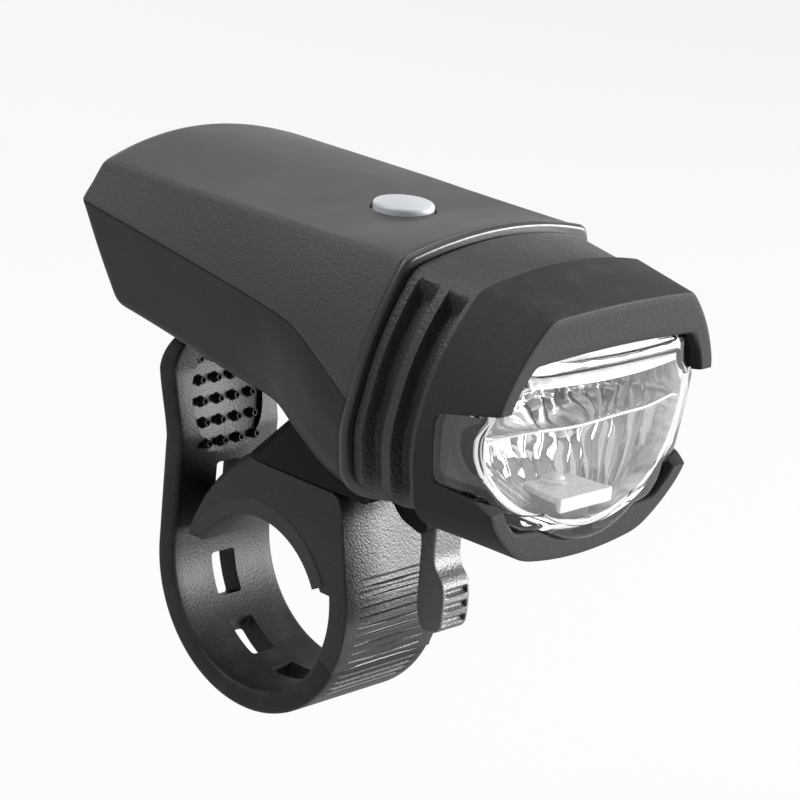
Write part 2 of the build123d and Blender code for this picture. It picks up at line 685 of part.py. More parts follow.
def bezel_run():
    """The bezel's cross-sections, carried on past both ends."""
    return [shifted(BEZEL_REAR, -OVERRUN), BEZEL_REAR, BEZEL_FRONT, shifted(BEZEL_FRONT, OVERRUN)]


def ahead_of(distance):
    """The space in front of the bezel's leaning rear plane, moved forwards by a distance."""
    low, high = TOP_Z - LAMP_DEPTH - OVERRUN, TOP_Z + OVERRUN
    front = BEZEL_FRONT_Y - 2 * OVERRUN
    plane = [(BEZEL_REAR_Y - distance - BEZEL_REAR_LEAN * (z - MID_Z), z) for z in (low, high)]
    return side_profile(plane + [(front, high), (front, low)], LAMP_HALF_WIDTH + OVERRUN)


def window_cut(margin=0.0):
    """The side windows' outline carried right through the bezel, drawn in by margin."""
    front = BEZEL_FRONT_Y - OVERRUN
    m = margin
    return side_profile([(WINDOW_REAR_Y - m, WINDOW_TOP_REAR_Z - m), (front, WINDOW_TOP_FRONT_Z - m),
                         (front, WINDOW_FOOT_FRONT_Z + m),
                         (WINDOW_FOOT_FRONT_Y - m, WINDOW_FOOT_FRONT_Z + m),
                         (WINDOW_FOOT_MID_Y - m, WINDOW_FOOT_MID_Z + m),
                         (WINDOW_REAR_Y - m, WINDOW_FOOT_REAR_Z + m)], LAMP_HALF_WIDTH + OVERRUN)


def front_bezel():
    """The hood and lower lip in one piece, open at the front and at both side windows."""
    full = tube_of([BEZEL_REAR, BEZEL_FRONT])
    face_share = 1 - BEZEL_FACE / (BEZEL_REAR_Y - BEZEL_FRONT_Y)
    inner = between(BEZEL_REAR, BEZEL_FRONT, face_share)
    hollow = tube_of([shifted(BEZEL_REAR, -OVERRUN), BEZEL_REAR, inner], BEZEL_WALL)
    opening = front_prism(lens_outline(), BEZEL_FRONT_Y - OVERRUN, BEZEL_REAR_Y)
    return full - hollow - opening - window_cut()


def lens_space(margin):
    """What the lens may fill: the bezel's front opening and its side windows, drawn in by margin."""
    middle = front_prism(lens_outline(margin), LENS_FRONT_Y - OVERRUN, BEZEL_REAR_Y)
    middle &= tube_of(bezel_run(), BEZEL_WALL + margin)
    return middle + (window_cut(margin) & tube_of(bezel_run(), margin))


def front_lens():
    """The clear cup that closes the front and wraps into both side windows."""
    cup = lens_space(LENS_CLEARANCE) & lens_front() & ahead_of(NECK_FRONT_SPIGOT + LENS_SEAL_DEPTH)
    return cup - (lens_space(LENS_CLEARANCE + LENS_WALL) & lens_front(LENS_WALL))


def lens_seal():
    """The soft ring between the lens's rear edge and the neck."""
    ring = front_prism(lens_outline(LENS_CLEARANCE), LENS_FRONT_Y, BEZEL_REAR_Y + OVERRUN)
    ring &= tube_of(bezel_run(), BEZEL_WALL + LENS_CLEARANCE)
    ring -= front_prism(lens_outline(LENS_CLEARANCE + LENS_WALL), LENS_FRONT_Y - OVERRUN,
                        BEZEL_REAR_Y + 2 * OVERRUN)
    return ring & (ahead_of(NECK_FRONT_SPIGOT) - ahead_of(NECK_FRONT_SPIGOT + LENS_SEAL_DEPTH))


# Reflector and light engine

def bowl(z0, z1):
    """One half of the reflector's hollow, between two heights, with upright flutes in its back wall."""
    margin = LENS_CLEARANCE + LENS_WALL + REFLECTOR_CLEARANCE + BOWL_RIM
    outline = lens_outline(margin)
    reach = LAMP_HALF_WIDTH + OVERRUN
    slab = block(-reach, reach, LENS_FRONT_Y - OVERRUN, REFLECTOR_REAR_Y, z0, z1)
    middle = Vector(CENTRE_X, 0, (LENS_TOP_Z + LENS_BOTTOM_Z) / 2)
    small = Pos(*middle) * scale(Pos(*(-middle)) * outline, BOWL_REAR_SHARE)
    hollow = loft([Pos(CENTRE_X, LENS_FRONT_Y, 0) * outline, Pos(CENTRE_X, BOWL_REAR_Y, 0) * small],
                  ruled=True)
    for number in range(FLUTE_COUNT):
        x = (number - (FLUTE_COUNT - 1) / 2) * FLUTE_PITCH
        height = (LENS_TOP_Z - LENS_BOTTOM_Z) * BOWL_REAR_SHARE
        hollow += Pos(x, BOWL_REAR_Y - FLUTE_SETBACK, middle.Z) * Cylinder(FLUTE_RADIUS, height)
    return hollow & slab


def led_board_outline(grow=0.0):
    """The light board's plan, wider at the front."""
    rear = REFLECTOR_REAR_Y + SINK_CLEARANCE
    points = [(-LED_BOARD_FRONT_HALF - grow, LED_BOARD_FRONT_Y - grow),
              (LED_BOARD_FRONT_HALF + grow, LED_BOARD_FRONT_Y - grow),
              (LED_BOARD_REAR_HALF + grow, rear + grow), (-LED_BOARD_REAR_HALF - grow, rear + grow)]
    return make_face(Polyline(*points, close=True))


def led_board():
    """The light-coloured board that stands on the reflector's floor and meets the heat sink."""
    return Pos(CENTRE_X, 0, LED_BOARD_Z) * extrude(led_board_outline(), LED_BOARD_THICKNESS)


def led_emitter():
    """The light source on its board."""
    top = LED_BOARD_Z + LED_BOARD_THICKNESS
    half = LED_SIZE / 2
    base = block(-half, half, LED_Y - half, LED_Y + half, top, top + LED_BASE_HEIGHT)
    dome = Pos(CENTRE_X, LED_Y, top + LED_BASE_HEIGHT) * Sphere(LED_DOME_RADIUS)
    upper = block(-half, half, LED_Y - half, LED_Y + half, top, top + LED_BASE_HEIGHT + LED_DOME_RADIUS)
    return base + (dome & upper)


def reflector():
    """The bright reflector, with an upper and a lower bowl and a slot for the light board."""
    margin = LENS_CLEARANCE + LENS_WALL + REFLECTOR_CLEARANCE
    shape = front_prism(lens_outline(margin), LENS_FRONT_Y - OVERRUN, REFLECTOR_REAR_Y)
    shape &= tube_of(bezel_run(), BEZEL_WALL + margin) & lens_front(LENS_WALL + REFLECTOR_FRONT_SETBACK)
    shape &= tube_of(bezel_run(), NECK_WALL + NECK_INSET + SINK_CLEARANCE) \
        + ahead_of(NECK_FRONT_SPIGOT + SINK_CLEARANCE)
    shape -= bowl(SPLIT_Z + SPLIT_WEB / 2, LENS_TOP_Z)
    shape -= bowl(LED_BOARD_Z, SPLIT_Z - SPLIT_WEB / 2)
    slot = Pos(CENTRE_X, 0, LED_BOARD_Z) * extrude(
        led_board_outline(LED_BOARD_CLEARANCE), LED_BOARD_THICKNESS + LED_BOARD_CLEARANCE)
    return shape - slot


def heat_sink():
    """The plate that takes the light board's heat, with fins to the rear."""
    inset = NECK_WALL + NECK_INSET + SINK_CLEARANCE
    bore = tube_of([shifted(RIM, -OVERRUN), shifted(RIM, RIM_RING_WIDTH), BEZEL_REAR], inset)
    reach = LAMP_HALF_WIDTH
    front = REFLECTOR_REAR_Y + SINK_CLEARANCE
    rear = front + SINK_THICKNESS
    sink = block(-reach, reach, front, rear, TOP_Z - LAMP_DEPTH, TOP_Z)
    for number in range(SINK_FIN_COUNT):
        z = MID_Z + (number - (SINK_FIN_COUNT - 1) / 2) * SINK_FIN_PITCH
        sink += block(-reach / 2, reach / 2, rear, rear + SINK_FIN_LENGTH,
                      z - SINK_FIN_THICKNESS / 2, z + SINK_FIN_THICKNESS / 2)
    return sink & bore


# Button and control board

def button_cap():
    """The frosted cap, with the flange that keeps it in and the stem that works the switch."""
    outside = top_height(BUTTON_Y)
    top = outside + BUTTON_PROUD
    flange_top = outside - HOUSING_WALL - BUTTON_CLEARANCE
    flange_foot = flange_top - BUTTON_FLANGE_HEIGHT
    barrel = post(BUTTON_X, BUTTON_Y, flange_foot, top, BUTTON_RADIUS)
    dome_radius = (BUTTON_RADIUS ** 2 + BUTTON_DOME ** 2) / (2 * BUTTON_DOME)
    barrel &= Pos(BUTTON_X, BUTTON_Y, top - dome_radius) * Sphere(dome_radius)
    barrel += post(BUTTON_X, BUTTON_Y, flange_foot, flange_top, BUTTON_FLANGE_RADIUS)
    return barrel + post(BUTTON_X, BUTTON_Y, plunger_top(), flange_foot, BUTTON_STEM_RADIUS)


def plunger_top():
    """Where the cap's stem meets the switch's plunger."""
    return BOARD_TOP_Z + SWITCH_HEIGHT + BUTTON_CLEARANCE


def switch_plunger():
    """The moving pin of the switch."""
    foot = BOARD_TOP_Z + BUTTON_TRAVEL + SWITCH_PLUNGER_CLEARANCE
    return post(BUTTON_X, BUTTON_Y, foot, plunger_top(), SWITCH_PLUNGER_RADIUS)


def tact_switch():
    """The switch body that the plunger travels in."""
    half = SWITCH_SIZE / 2
    body = block(BUTTON_X - half, BUTTON_X + half, BUTTON_Y - half, BUTTON_Y + half, BOARD_TOP_Z,
                 BOARD_TOP_Z + SWITCH_HEIGHT)
    return body - post(BUTTON_X, BUTTON_Y, BOARD_TOP_Z, BOARD_TOP_Z + OVERRUN,
                       SWITCH_PLUNGER_RADIUS + SWITCH_PLUNGER_CLEARANCE)


def status_lights():
    """Two small lamps beside the switch that glow through the cap."""
    half = STATUS_LED_SIZE / 2
    lights = []
    for side in (-1, 1):
        x = BUTTON_X + side * STATUS_LED_OFFSET
        lights.append(block(x - half, x + half, BUTTON_Y - half, BUTTON_Y + half, BOARD_TOP_Z,
                            BOARD_TOP_Z + STATUS_LED_HEIGHT))
    return lights


def control_board():
    """The main board under the top cover."""
    board = block(-BOARD_HALF_WIDTH, BOARD_HALF_WIDTH, BOARD_FRONT_Y, BOARD_REAR_Y,
                  BOARD_TOP_Z - BOARD_THICKNESS, BOARD_TOP_Z)
    for x, y in board_post_places():
        board -= post(x, y, BOARD_TOP_Z - OVERRUN, BOARD_TOP_Z + OVERRUN, BOARD_SCREW_RADIUS)
    return board


def board_screws():
    """Four small screws that hold the board to its posts."""
    foot = BOARD_TOP_Z - BOARD_THICKNESS
    return [post(x, y, foot, BOARD_TOP_Z + BOARD_SCREW_LENGTH, BOARD_SCREW_RADIUS)
            + post(x, y, foot - BOARD_SCREW_HEAD_HEIGHT, foot, BOARD_SCREW_HEAD_RADIUS)
            for x, y in board_post_places()]


# Battery and charging

def battery_cell():
    """The flat rechargeable cell."""
    cell = block(-CELL_WIDTH / 2, CELL_WIDTH / 2, CELL_FRONT_Y, CELL_FRONT_Y + CELL_LENGTH,
                 CELL_FOOT_Z, CELL_FOOT_Z + CELL_HEIGHT)
    return fillet(cell.edges().filter_by(Axis.Y), CELL_ROUND)


def battery_tray():
    """The tray that the cell lies in, on ribs that stand on the lower shell's floor."""
    x = CELL_WIDTH / 2 + TRAY_CLEARANCE + TRAY_MARGIN
    y0 = CELL_FRONT_Y - TRAY_CLEARANCE - TRAY_MARGIN
    y1 = CELL_FRONT_Y + CELL_LENGTH + TRAY_CLEARANCE + TRAY_MARGIN
    tray = block(-x, x, y0, y1, CELL_FOOT_Z - TRAY_THICKNESS, CELL_FOOT_Z + TRAY_LIP_HEIGHT)
    tray -= block(-CELL_WIDTH / 2 - TRAY_CLEARANCE, CELL_WIDTH / 2 + TRAY_CLEARANCE,
                  CELL_FRONT_Y - TRAY_CLEARANCE, CELL_FRONT_Y + CELL_LENGTH + TRAY_CLEARANCE,
                  CELL_FOOT_Z, CELL_FOOT_Z + OVERRUN)
    for share in TRAY_RIB_SHARES:
        y = y0 + share * (y1 - y0)
        tray += block(-x, x, y - TRAY_RIB_THICKNESS / 2, y + TRAY_RIB_THICKNESS / 2,
                      TOP_Z - LAMP_DEPTH, CELL_FOOT_Z - TRAY_THICKNESS)
    return tray & body_block(HOUSING_WALL)


def cell_tabs():
    """Two metal strips from the cell's front end up to the board."""
    strips = []
    y = CELL_FRONT_Y
    for side in (-1, 1):
        x = side * TAB_STRIP_OFFSET
        strips.append(block(x - TAB_STRIP_WIDTH / 2, x + TAB_STRIP_WIDTH / 2, y - TAB_STRIP_THICKNESS,
                            y, CELL_FOOT_Z + TRAY_LIP_HEIGHT + TRAY_CLEARANCE,
                            BOARD_TOP_Z - BOARD_THICKNESS))
    return strips


def cell_pad():
    """The foam pad that keeps the cell down under the board."""
    inset = BOARD_POST_INSET + BOARD_SCREW_HEAD_RADIUS + CELL_PAD_CLEARANCE
    return block(-BOARD_HALF_WIDTH + inset, BOARD_HALF_WIDTH - inset, CELL_FRONT_Y + CELL_PAD_CLEARANCE,
                 CELL_FRONT_Y + CELL_LENGTH / 2, CELL_FOOT_Z + CELL_HEIGHT, BOARD_TOP_Z - BOARD_THICKNESS)


def charge_board():
    """The small board that carries the charging port."""
    return block(-CHARGE_BOARD_HALF_WIDTH + CHARGE_SHELF_CLEARANCE,
                 CHARGE_BOARD_HALF_WIDTH - CHARGE_SHELF_CLEARANCE,
                 CHARGE_BOARD_FRONT_Y, CHARGE_BOARD_REAR_Y, CHARGE_BOARD_Z,
                 CHARGE_BOARD_Z + CHARGE_BOARD_THICKNESS)


def charge_port():
    """The metal shell of the charging socket, with its contact tongue."""
    z0 = CHARGE_BOARD_Z + CHARGE_BOARD_THICKNESS
    y1 = CHARGE_BOARD_REAR_Y + PORT_PROUD
    y0 = y1 - PORT_LENGTH
    half = PORT_WIDTH / 2
    shell = fillet(block(-half, half, y0, y1, z0, z0 + PORT_HEIGHT).edges().filter_by(Axis.Y),
                   PORT_HEIGHT / 2 - PORT_WALL / 2)
    inner = fillet(block(-half + PORT_WALL, half - PORT_WALL, y0 + PORT_WALL, y1 + OVERRUN,
                         z0 + PORT_WALL, z0 + PORT_HEIGHT - PORT_WALL).edges().filter_by(Axis.Y),
                   PORT_HEIGHT / 2 - 3 * PORT_WALL / 2)
    middle = z0 + PORT_HEIGHT / 2
    tongue = block(-half + PORT_HEIGHT / 2, half - PORT_HEIGHT / 2, y0, y1 - PORT_WALL,
                   middle - PORT_TONGUE_HEIGHT / 2, middle + PORT_TONGUE_HEIGHT / 2)
    return shell - inner + tongue


def cover_plane():
    """The frame of the port's cover on the rear face: its Z points out of the lamp."""
    z = CHARGE_BOARD_Z + CHARGE_BOARD_THICKNESS + PORT_HEIGHT / 2
    y = REAR_CREASE_Y - REAR_FOOT_LEAN_SHARE * (REAR_CREASE_Z - z)
    return Plane(origin=(CENTRE_X, y, z), x_dir=(-1, 0, 0), z_dir=(0, 1, -REAR_FOOT_LEAN_SHARE))


def port_cover():
    """The soft flap over the charging port, with a rounded lower edge that it turns on."""
    round_off = COVER_THICKNESS / 2
    flap = Box(COVER_WIDTH, COVER_HEIGHT - round_off, COVER_THICKNESS)
    upper = flap.edges().filter_by(Axis.Z).sort_by(Axis.Y)[-2:]
    flap = Pos(0, round_off / 2, 0) * fillet(upper, COVER_CORNER)
    flap += Pos(0, round_off - COVER_HEIGHT / 2, 0) * Rot(0, 90, 0) * Cylinder(round_off, COVER_WIDTH)
    return cover_plane() * Pos(0, 0, COVER_PROUD - round_off) * flap


# Handlebar bracket

def rib_turns():
    """The angle of each rib round the loop."""
    return [RIB_FIRST_TURN + number * RIB_STEP_TURN for number in range(RIB_COUNT)]


def with_ribs(solid, start, end):
    """Adds the recessed rib panel to a stretch of the loop's outside."""
    half = RIB_PANEL_WIDTH / 2
    first, last = rib_turns()[0] - RIB_STEP_TURN, rib_turns()[-1] + RIB_STEP_TURN
    low, high = max(start, first), min(end, last)
    solid -= ring_sector(low, high, LOOP_OUTER - RIB_PANEL_DEPTH, LOOP_OUTER + OVERRUN, half)
    for turn in rib_turns():
        if low + RIB_HINGE_CLEARANCE_TURN <= turn <= high - RIB_HINGE_CLEARANCE_TURN:
            y, z = loop_point(turn, LOOP_OUTER - RIB_PANEL_DEPTH)
            solid += Pos(CENTRE_X, y, z) * Rot(0, 90, 0) * Cylinder(RIB_RADIUS, RIB_PANEL_WIDTH)
    return solid


def clamp_saddle():
    """The saddle over the bar, with the front wall of the loop, the swivel boss and the strap hook."""
    rear = ThreePointArc((SADDLE_TIP_Y, SADDLE_TIP_Z), (SADDLE_REAR_MID_Y, SADDLE_REAR_MID_Z),
                         (SADDLE_REAR_TOP_Y, SADDLE_TOP_Z))
    wall_top = loop_point(FRONT_WALL_TURN, LOOP_OUTER)
    wall_foot = (LOOP_Y - (LOOP_RADIUS ** 2 - (SADDLE_TIP_Z - LOOP_Z) ** 2) ** 0.5, SADDLE_TIP_Z)
    outline = [rear,
               Polyline((SADDLE_REAR_TOP_Y, SADDLE_TOP_Z), (SADDLE_FRONT_TOP_Y, SADDLE_TOP_Z),
                        (SADDLE_BROW_Y, SADDLE_BROW_Z), wall_top, wall_foot,
                        (SADDLE_TIP_Y, SADDLE_TIP_Z))]
    saddle = extrude(Plane.YZ * make_face(outline), HALF_CLAMP, both=True)
    saddle += ring_sector(FRONT_WALL_TURN, HINGE_TURN, LOOP_RADIUS, LOOP_OUTER, HALF_CLAMP)
    saddle -= Rot(0, 90, 0) * Cylinder(SADDLE_BORE, CLAMP_WIDTH + OVERRUN)
    saddle = with_ribs(saddle, FRONT_WALL_TURN, HINGE_TURN)
    saddle += block(-HOOK_WIDTH / 2, HOOK_WIDTH / 2, SADDLE_REAR_MID_Y, LOOP_Y + LOOP_RADIUS + HOOK_REACH,
                    HOOK_SLOT_Z + HOOK_SLOT_CLEARANCE, HOOK_SLOT_Z + HOOK_SLOT_CLEARANCE + HOOK_HEIGHT)
    saddle += post(CENTRE_X, PIVOT_Y, SADDLE_TOP_Z - OVERRUN / 2, SADDLE_TOP_Z + PIVOT_BOSS_HEIGHT,
                   PIVOT_BOSS_RADIUS)
    top = SADDLE_TOP_Z + PIVOT_BOSS_HEIGHT
    return saddle - post(CENTRE_X, PIVOT_Y, top - PIVOT_SHANK_LENGTH, top + OVERRUN, PIVOT_SHANK_RADIUS)


def saddle_pad():
    """The rubber liner that grips the bar."""
    return ring_sector(PAD_START_TURN, PAD_END_TURN, BAR_RADIUS, SADDLE_BORE, HALF_CLAMP - PAD_SETBACK,
                       BAR_CENTRE)


def pivot_screw():
    """The screw that holds the shoe down on the saddle's boss."""
    top = SADDLE_TOP_Z + PIVOT_BOSS_HEIGHT
    return (post(CENTRE_X, PIVOT_Y, top, top + PIVOT_HEAD_HEIGHT, PIVOT_HEAD_RADIUS)
            + post(CENTRE_X, PIVOT_Y, top - PIVOT_SHANK_LENGTH, top, PIVOT_SHANK_RADIUS))


def strap_outline():
    """The strap's side outline above the loop: inner line up, outer line down."""
    inner, outer = LOOP_Y + LOOP_RADIUS, LOOP_Y + LOOP_OUTER
    return [(inner, LOOP_Z), (inner, TAB_BEND_Z), (inner + TAB_FLARE, TAB_FLARE_Z),
            (inner + TAB_FLARE, TAB_TOP_Z), (outer + TAB_FLARE - TAB_NOSE, TAB_TOP_Z),
            (outer + TAB_FLARE, TAB_FLARE_Z), (outer, TAB_BEND_Z), (outer, LOOP_Z)]


def dish_plane():
    """The frame of the grip dish on the tab's front face: its Z points to the front."""
    inner = LOOP_Y + LOOP_RADIUS
    rise = TAB_FLARE_Z - TAB_BEND_Z
    middle = (CENTRE_X, inner + TAB_FLARE / 2, (TAB_BEND_Z + TAB_FLARE_Z) / 2)
    return Plane(origin=middle, x_dir=(1, 0, 0), z_dir=Vector(0, -rise, TAB_FLARE).normalized())


def stud_places():
    """The (x, y) places of the studs that fit in the dish."""
    places = []
    for row in range(STUD_ROWS):
        for column in range(STUD_COLUMNS):
            x = (column - (STUD_COLUMNS - 1) / 2) * STUD_PITCH
            y = (row - (STUD_ROWS - 1) / 2) * STUD_PITCH
            if (abs(x) / DISH_HALF_WIDTH) ** 2 + (abs(y) / DISH_HALF_HEIGHT) ** 2 < 1:
                places.append((x, y))
    return places


def clamp_strap():
    """The flexible strap: the loop's lower part, its slots and the pull tab with its grip."""
    strap = ring_sector(HINGE_TURN, 360.0, LOOP_RADIUS, LOOP_OUTER, HALF_CLAMP)
    tab = side_profile(strap_outline(), HALF_CLAMP)
    upright = Plane.XZ * Pos(0, (LOOP_Z + TAB_TOP_Z) / 2) * RectangleRounded(
        CLAMP_WIDTH, TAB_TOP_Z - LOOP_Z, TAB_CORNER_RADIUS)
    keep = Pos(0, LOOP_Y + LOOP_OUTER + OVERRUN, 0) * extrude(upright, LOOP_OUTER)
    lower = block(-HALF_CLAMP, HALF_CLAMP, LOOP_Y, LOOP_Y + LOOP_OUTER + OVERRUN, LOOP_Z, TAB_BEND_Z)
    strap += tab & (keep + lower)
    strap = with_ribs(strap, HINGE_TURN, 360.0)
    for number in range(SLOT_COUNT):
        turn = SLOT_FIRST_TURN + number * SLOT_STEP_TURN
        y, z = loop_point(turn, LOOP_RADIUS + STRAP_THICKNESS / 2)
        slot = Box(SLOT_WIDTH, STRAP_THICKNESS + OVERRUN, SLOT_LENGTH)
        strap -= Pos(CENTRE_X, y, z) * Rot(turn, 0, 0) * slot
    strap -= block(-SLOT_WIDTH / 2, SLOT_WIDTH / 2, LOOP_Y + LOOP_RADIUS - OVERRUN,
                   LOOP_Y + LOOP_OUTER + OVERRUN, HOOK_SLOT_Z, HOOK_SLOT_Z + SLOT_LENGTH)
    strap -= dish_plane() * extrude(Ellipse(DISH_HALF_WIDTH, DISH_HALF_HEIGHT), DISH_DEPTH, both=True)
    stud = Cylinder(STUD_RADIUS, 2 * STUD_HEIGHT)
    stud -= Pos(0, 0, STUD_HEIGHT) * Cylinder(STUD_HOLLOW_RADIUS, 2 * STUD_HOLLOW_DEPTH)
    for x, y in stud_places():
        strap += dish_plane() * Pos(x, y, -DISH_DEPTH) * stud
    return strap


def mount_shoe():
    """The swivelling shoe: the channel for the lamp's rail, and the tongue that holds the lever."""
    foot = SADDLE_TOP_Z + SEAM_GAP
    floor = foot + SHOE_FLOOR
    top = BODY[3].edge_z
    rear_top = SHOE_REAR_FOOT_Y - SHOE_REAR_LEAN_SHARE * (top - foot)
    shoe = side_profile([(SHOE_REAR_FOOT_Y, foot), (rear_top, top), (SHOE_STEP_Y, top),
                         (SHOE_STEP_Y, foot)], HALF_CLAMP)
    tongue = side_profile([(SHOE_STEP_Y + OVERRUN, foot), (SHOE_STEP_Y, foot), (SHOE_STEP_Y, SHOE_STEP_Z),
                           (LEVER_PIVOT_Y, LEVER_PIVOT_Z - LEVER_EYE_RADIUS),
                           (LEVER_PIVOT_Y - LEVER_EYE_RADIUS, LEVER_PIVOT_Z),
                           (LEVER_PIVOT_Y, LEVER_PIVOT_Z + LEVER_EYE_RADIUS),
                           (SHOE_STEP_Y + OVERRUN, floor)], SHOE_TONGUE_WIDTH / 2)
    shoe += tongue
    shoe -= lamp_keepout(SHOE_GAP)
    gap = RAIL_CLEARANCE
    flange_top = floor + gap + RAIL_FLANGE_HEIGHT + gap
    front = SHOE_STEP_Y - OVERRUN
    stop = RAIL_REAR_Y + gap
    shoe -= block(-RAIL_FLANGE_HALF - gap, RAIL_FLANGE_HALF + gap, front, stop, floor, flange_top)
    shoe -= block(-RAIL_NECK_HALF - gap, RAIL_NECK_HALF + gap, front, stop, flange_top, top + OVERRUN)
    boss = SADDLE_TOP_Z + PIVOT_BOSS_HEIGHT
    shoe -= post(CENTRE_X, PIVOT_Y, foot - OVERRUN, floor + OVERRUN, PIVOT_BOSS_RADIUS + PIVOT_CLEARANCE) \
        & block(-HALF_CLAMP, HALF_CLAMP, SHOE_STEP_Y, SHOE_REAR_FOOT_Y, foot - OVERRUN, floor)
    shoe -= post(CENTRE_X, PIVOT_Y, boss - PIVOT_CLEARANCE, floor, PIVOT_HEAD_RADIUS + PIVOT_HEAD_CLEARANCE)
    half = LEVER_WIDTH / 2 + LEVER_SIDE_CLEARANCE
    eye = LEVER_EYE_RADIUS + LEVER_SIDE_CLEARANCE
    shoe -= block(-half, half, LEVER_PIVOT_Y - OVERRUN, LEVER_PIVOT_Y + eye, LEVER_PIVOT_Z - OVERRUN,
                  LEVER_PIVOT_Z + OVERRUN)
    shoe -= Pos(CENTRE_X, LEVER_PIVOT_Y, LEVER_PIVOT_Z) * Rot(0, 90, 0) * Cylinder(
        LEVER_PIN_RADIUS, SHOE_TONGUE_WIDTH + OVERRUN)
    return shoe


def lamp_keepout(gap):
    """The lamp's outside, grown by a gap, which the bracket stays clear of."""
    return tube_of(BODY + [shifted(RIM, RIM_RING_WIDTH + gap)], -gap - RIM_RING_PROUD)


def lever_pin():
    """The pin that the release lever turns on."""
    return Pos(CENTRE_X, LEVER_PIVOT_Y, LEVER_PIVOT_Z) * Rot(0, 90, 0) * Cylinder(
        LEVER_PIN_RADIUS, SHOE_TONGUE_WIDTH)


def release_lever():
    """The thumb lever that hangs in front of the clamp, with a ribbed grip at its foot."""
    eye_front = LEVER_PIVOT_Y - LEVER_EYE_RADIUS
    grip_rear = LEVER_GRIP_FRONT_Y + LEVER_GRIP_DEPTH
    arm = side_profile([(eye_front, LEVER_PIVOT_Z), (eye_front, LEVER_GRIP_Z),
                        (LEVER_GRIP_FRONT_Y, LEVER_GRIP_Z - LEVER_ROUND),
                        (LEVER_GRIP_FRONT_Y, LEVER_FOOT_Z + LEVER_ROUND),
                        (LEVER_GRIP_FRONT_Y + LEVER_ROUND, LEVER_FOOT_Z),
                        (grip_rear - LEVER_ROUND, LEVER_FOOT_Z),
                        (grip_rear, LEVER_FOOT_Z + LEVER_ROUND),
                        (eye_front + LEVER_ARM_DEPTH, LEVER_GRIP_Z),
                        (eye_front + LEVER_ARM_DEPTH, LEVER_PIVOT_Z)], LEVER_WIDTH / 2)
    pivot = Pos(CENTRE_X, LEVER_PIVOT_Y, LEVER_PIVOT_Z) * Rot(0, 90, 0)
    lever = arm + pivot * Cylinder(LEVER_EYE_RADIUS, LEVER_WIDTH)
    lever -= pivot * Cylinder(LEVER_PIN_RADIUS + LEVER_PIN_CLEARANCE, LEVER_WIDTH + OVERRUN)
    middle = (LEVER_GRIP_Z + LEVER_FOOT_Z) / 2
    for number in range(LEVER_RIB_COUNT):
        z = middle + (number - (LEVER_RIB_COUNT - 1) / 2) * LEVER_RIB_PITCH
        rib = Rot(0, 90, 0) * Cylinder(LEVER_RIB_RADIUS, LEVER_WIDTH)
        lever += Pos(CENTRE_X, LEVER_GRIP_FRONT_Y, z) * rib
    return lever


def rail_screw_places():
    """The two places of the rail's screws along the lamp."""
    return [RAIL_REAR_Y - RAIL_SCREW_INSET, RAIL_FRONT_Y + RAIL_SCREW_INSET]


def rail_foot():
    """The height of the rail's underside."""
    return SADDLE_TOP_Z + SEAM_GAP + SHOE_FLOOR + RAIL_CLEARANCE


def mount_rail():
    """The T-shaped rail under the lamp that slides into the shoe."""
    foot = rail_foot()
    shoulder = foot + RAIL_FLANGE_HEIGHT
    rail = block(-RAIL_FLANGE_HALF, RAIL_FLANGE_HALF, RAIL_FRONT_Y, RAIL_REAR_Y, foot, shoulder)
    rail += block(-RAIL_NECK_HALF, RAIL_NECK_HALF, RAIL_FRONT_Y, RAIL_REAR_Y, shoulder, MID_Z)
    rail -= body_block()
    for y in rail_screw_places():
        rail -= post(CENTRE_X, y, foot - OVERRUN, MID_Z, RAIL_SCREW_RADIUS)
        rail -= post(CENTRE_X, y, foot - OVERRUN, foot + RAIL_SCREW_HEAD_HEIGHT, RAIL_SCREW_HEAD_RADIUS)
    return rail


def rail_screws():
    """Two screws that hold the rail to the lower shell."""
    foot = rail_foot()
    screws = []
    for y in rail_screw_places():
        top = belly_height(y) + RAIL_SCREW_BITE
        screws.append(post(CENTRE_X, y, foot, foot + RAIL_SCREW_HEAD_HEIGHT, RAIL_SCREW_HEAD_RADIUS)
                      + post(CENTRE_X, y, foot, top, RAIL_SCREW_RADIUS))
    return screws


PARTS = {
    "clamp_saddle": clamp_saddle,
    "saddle_pad": saddle_pad,
    "pivot_screw": pivot_screw,
    "clamp_strap": clamp_strap,
    "mount_shoe": mount_shoe,
    "lever_pin": lever_pin,
    "release_lever": release_lever,
    "mount_rail": mount_rail,
    "rail_screws": rail_screws,
    "upper_housing": upper_housing,
    "lower_housing": lower_housing,
    "housing_gasket": housing_gasket,
    "housing_screws": housing_screws,
    "rim_ring": rim_ring,
    "neck_housing": neck_housing,
    "front_bezel": front_bezel,
    "front_lens": front_lens,
    "lens_seal": lens_seal,
    "reflector": reflector,
    "led_board": led_board,
    "led_emitter": led_emitter,
    "heat_sink": heat_sink,
    "control_board": control_board,
    "board_screws": board_screws,
    "tact_switch": tact_switch,
    "switch_plunger": switch_plunger,
    "status_lights": status_lights,
    "button_cap": button_cap,
    "battery_cell": battery_cell,
    "battery_tray": battery_tray,
    "cell_tabs": cell_tabs,
    "cell_pad": cell_pad,
    "charge_board": charge_board,
    "charge_port": charge_port,
    "port_cover": port_cover,
}

for name, make in PARTS.items():
    shape = make()
    if isinstance(shape, list):
        shape = Compound(children=shape)
    export_step(shape, os.path.join("parts", name + ".step"))
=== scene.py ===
"""Looks of a rechargeable bike headlight on its quick-release handlebar clamp.

Lengths in the classes are millimetres, as in the part's own source, and become metres in the
meshes. +Z is up, the beam points along -Y, and the origin is the centre of the handlebar.
"""

import json
import logging
from dataclasses import dataclass
from enum import Enum
from typing import Any, Optional, Sequence

import bmesh
import bpy
import numpy as np
from mathutils import Matrix, Vector

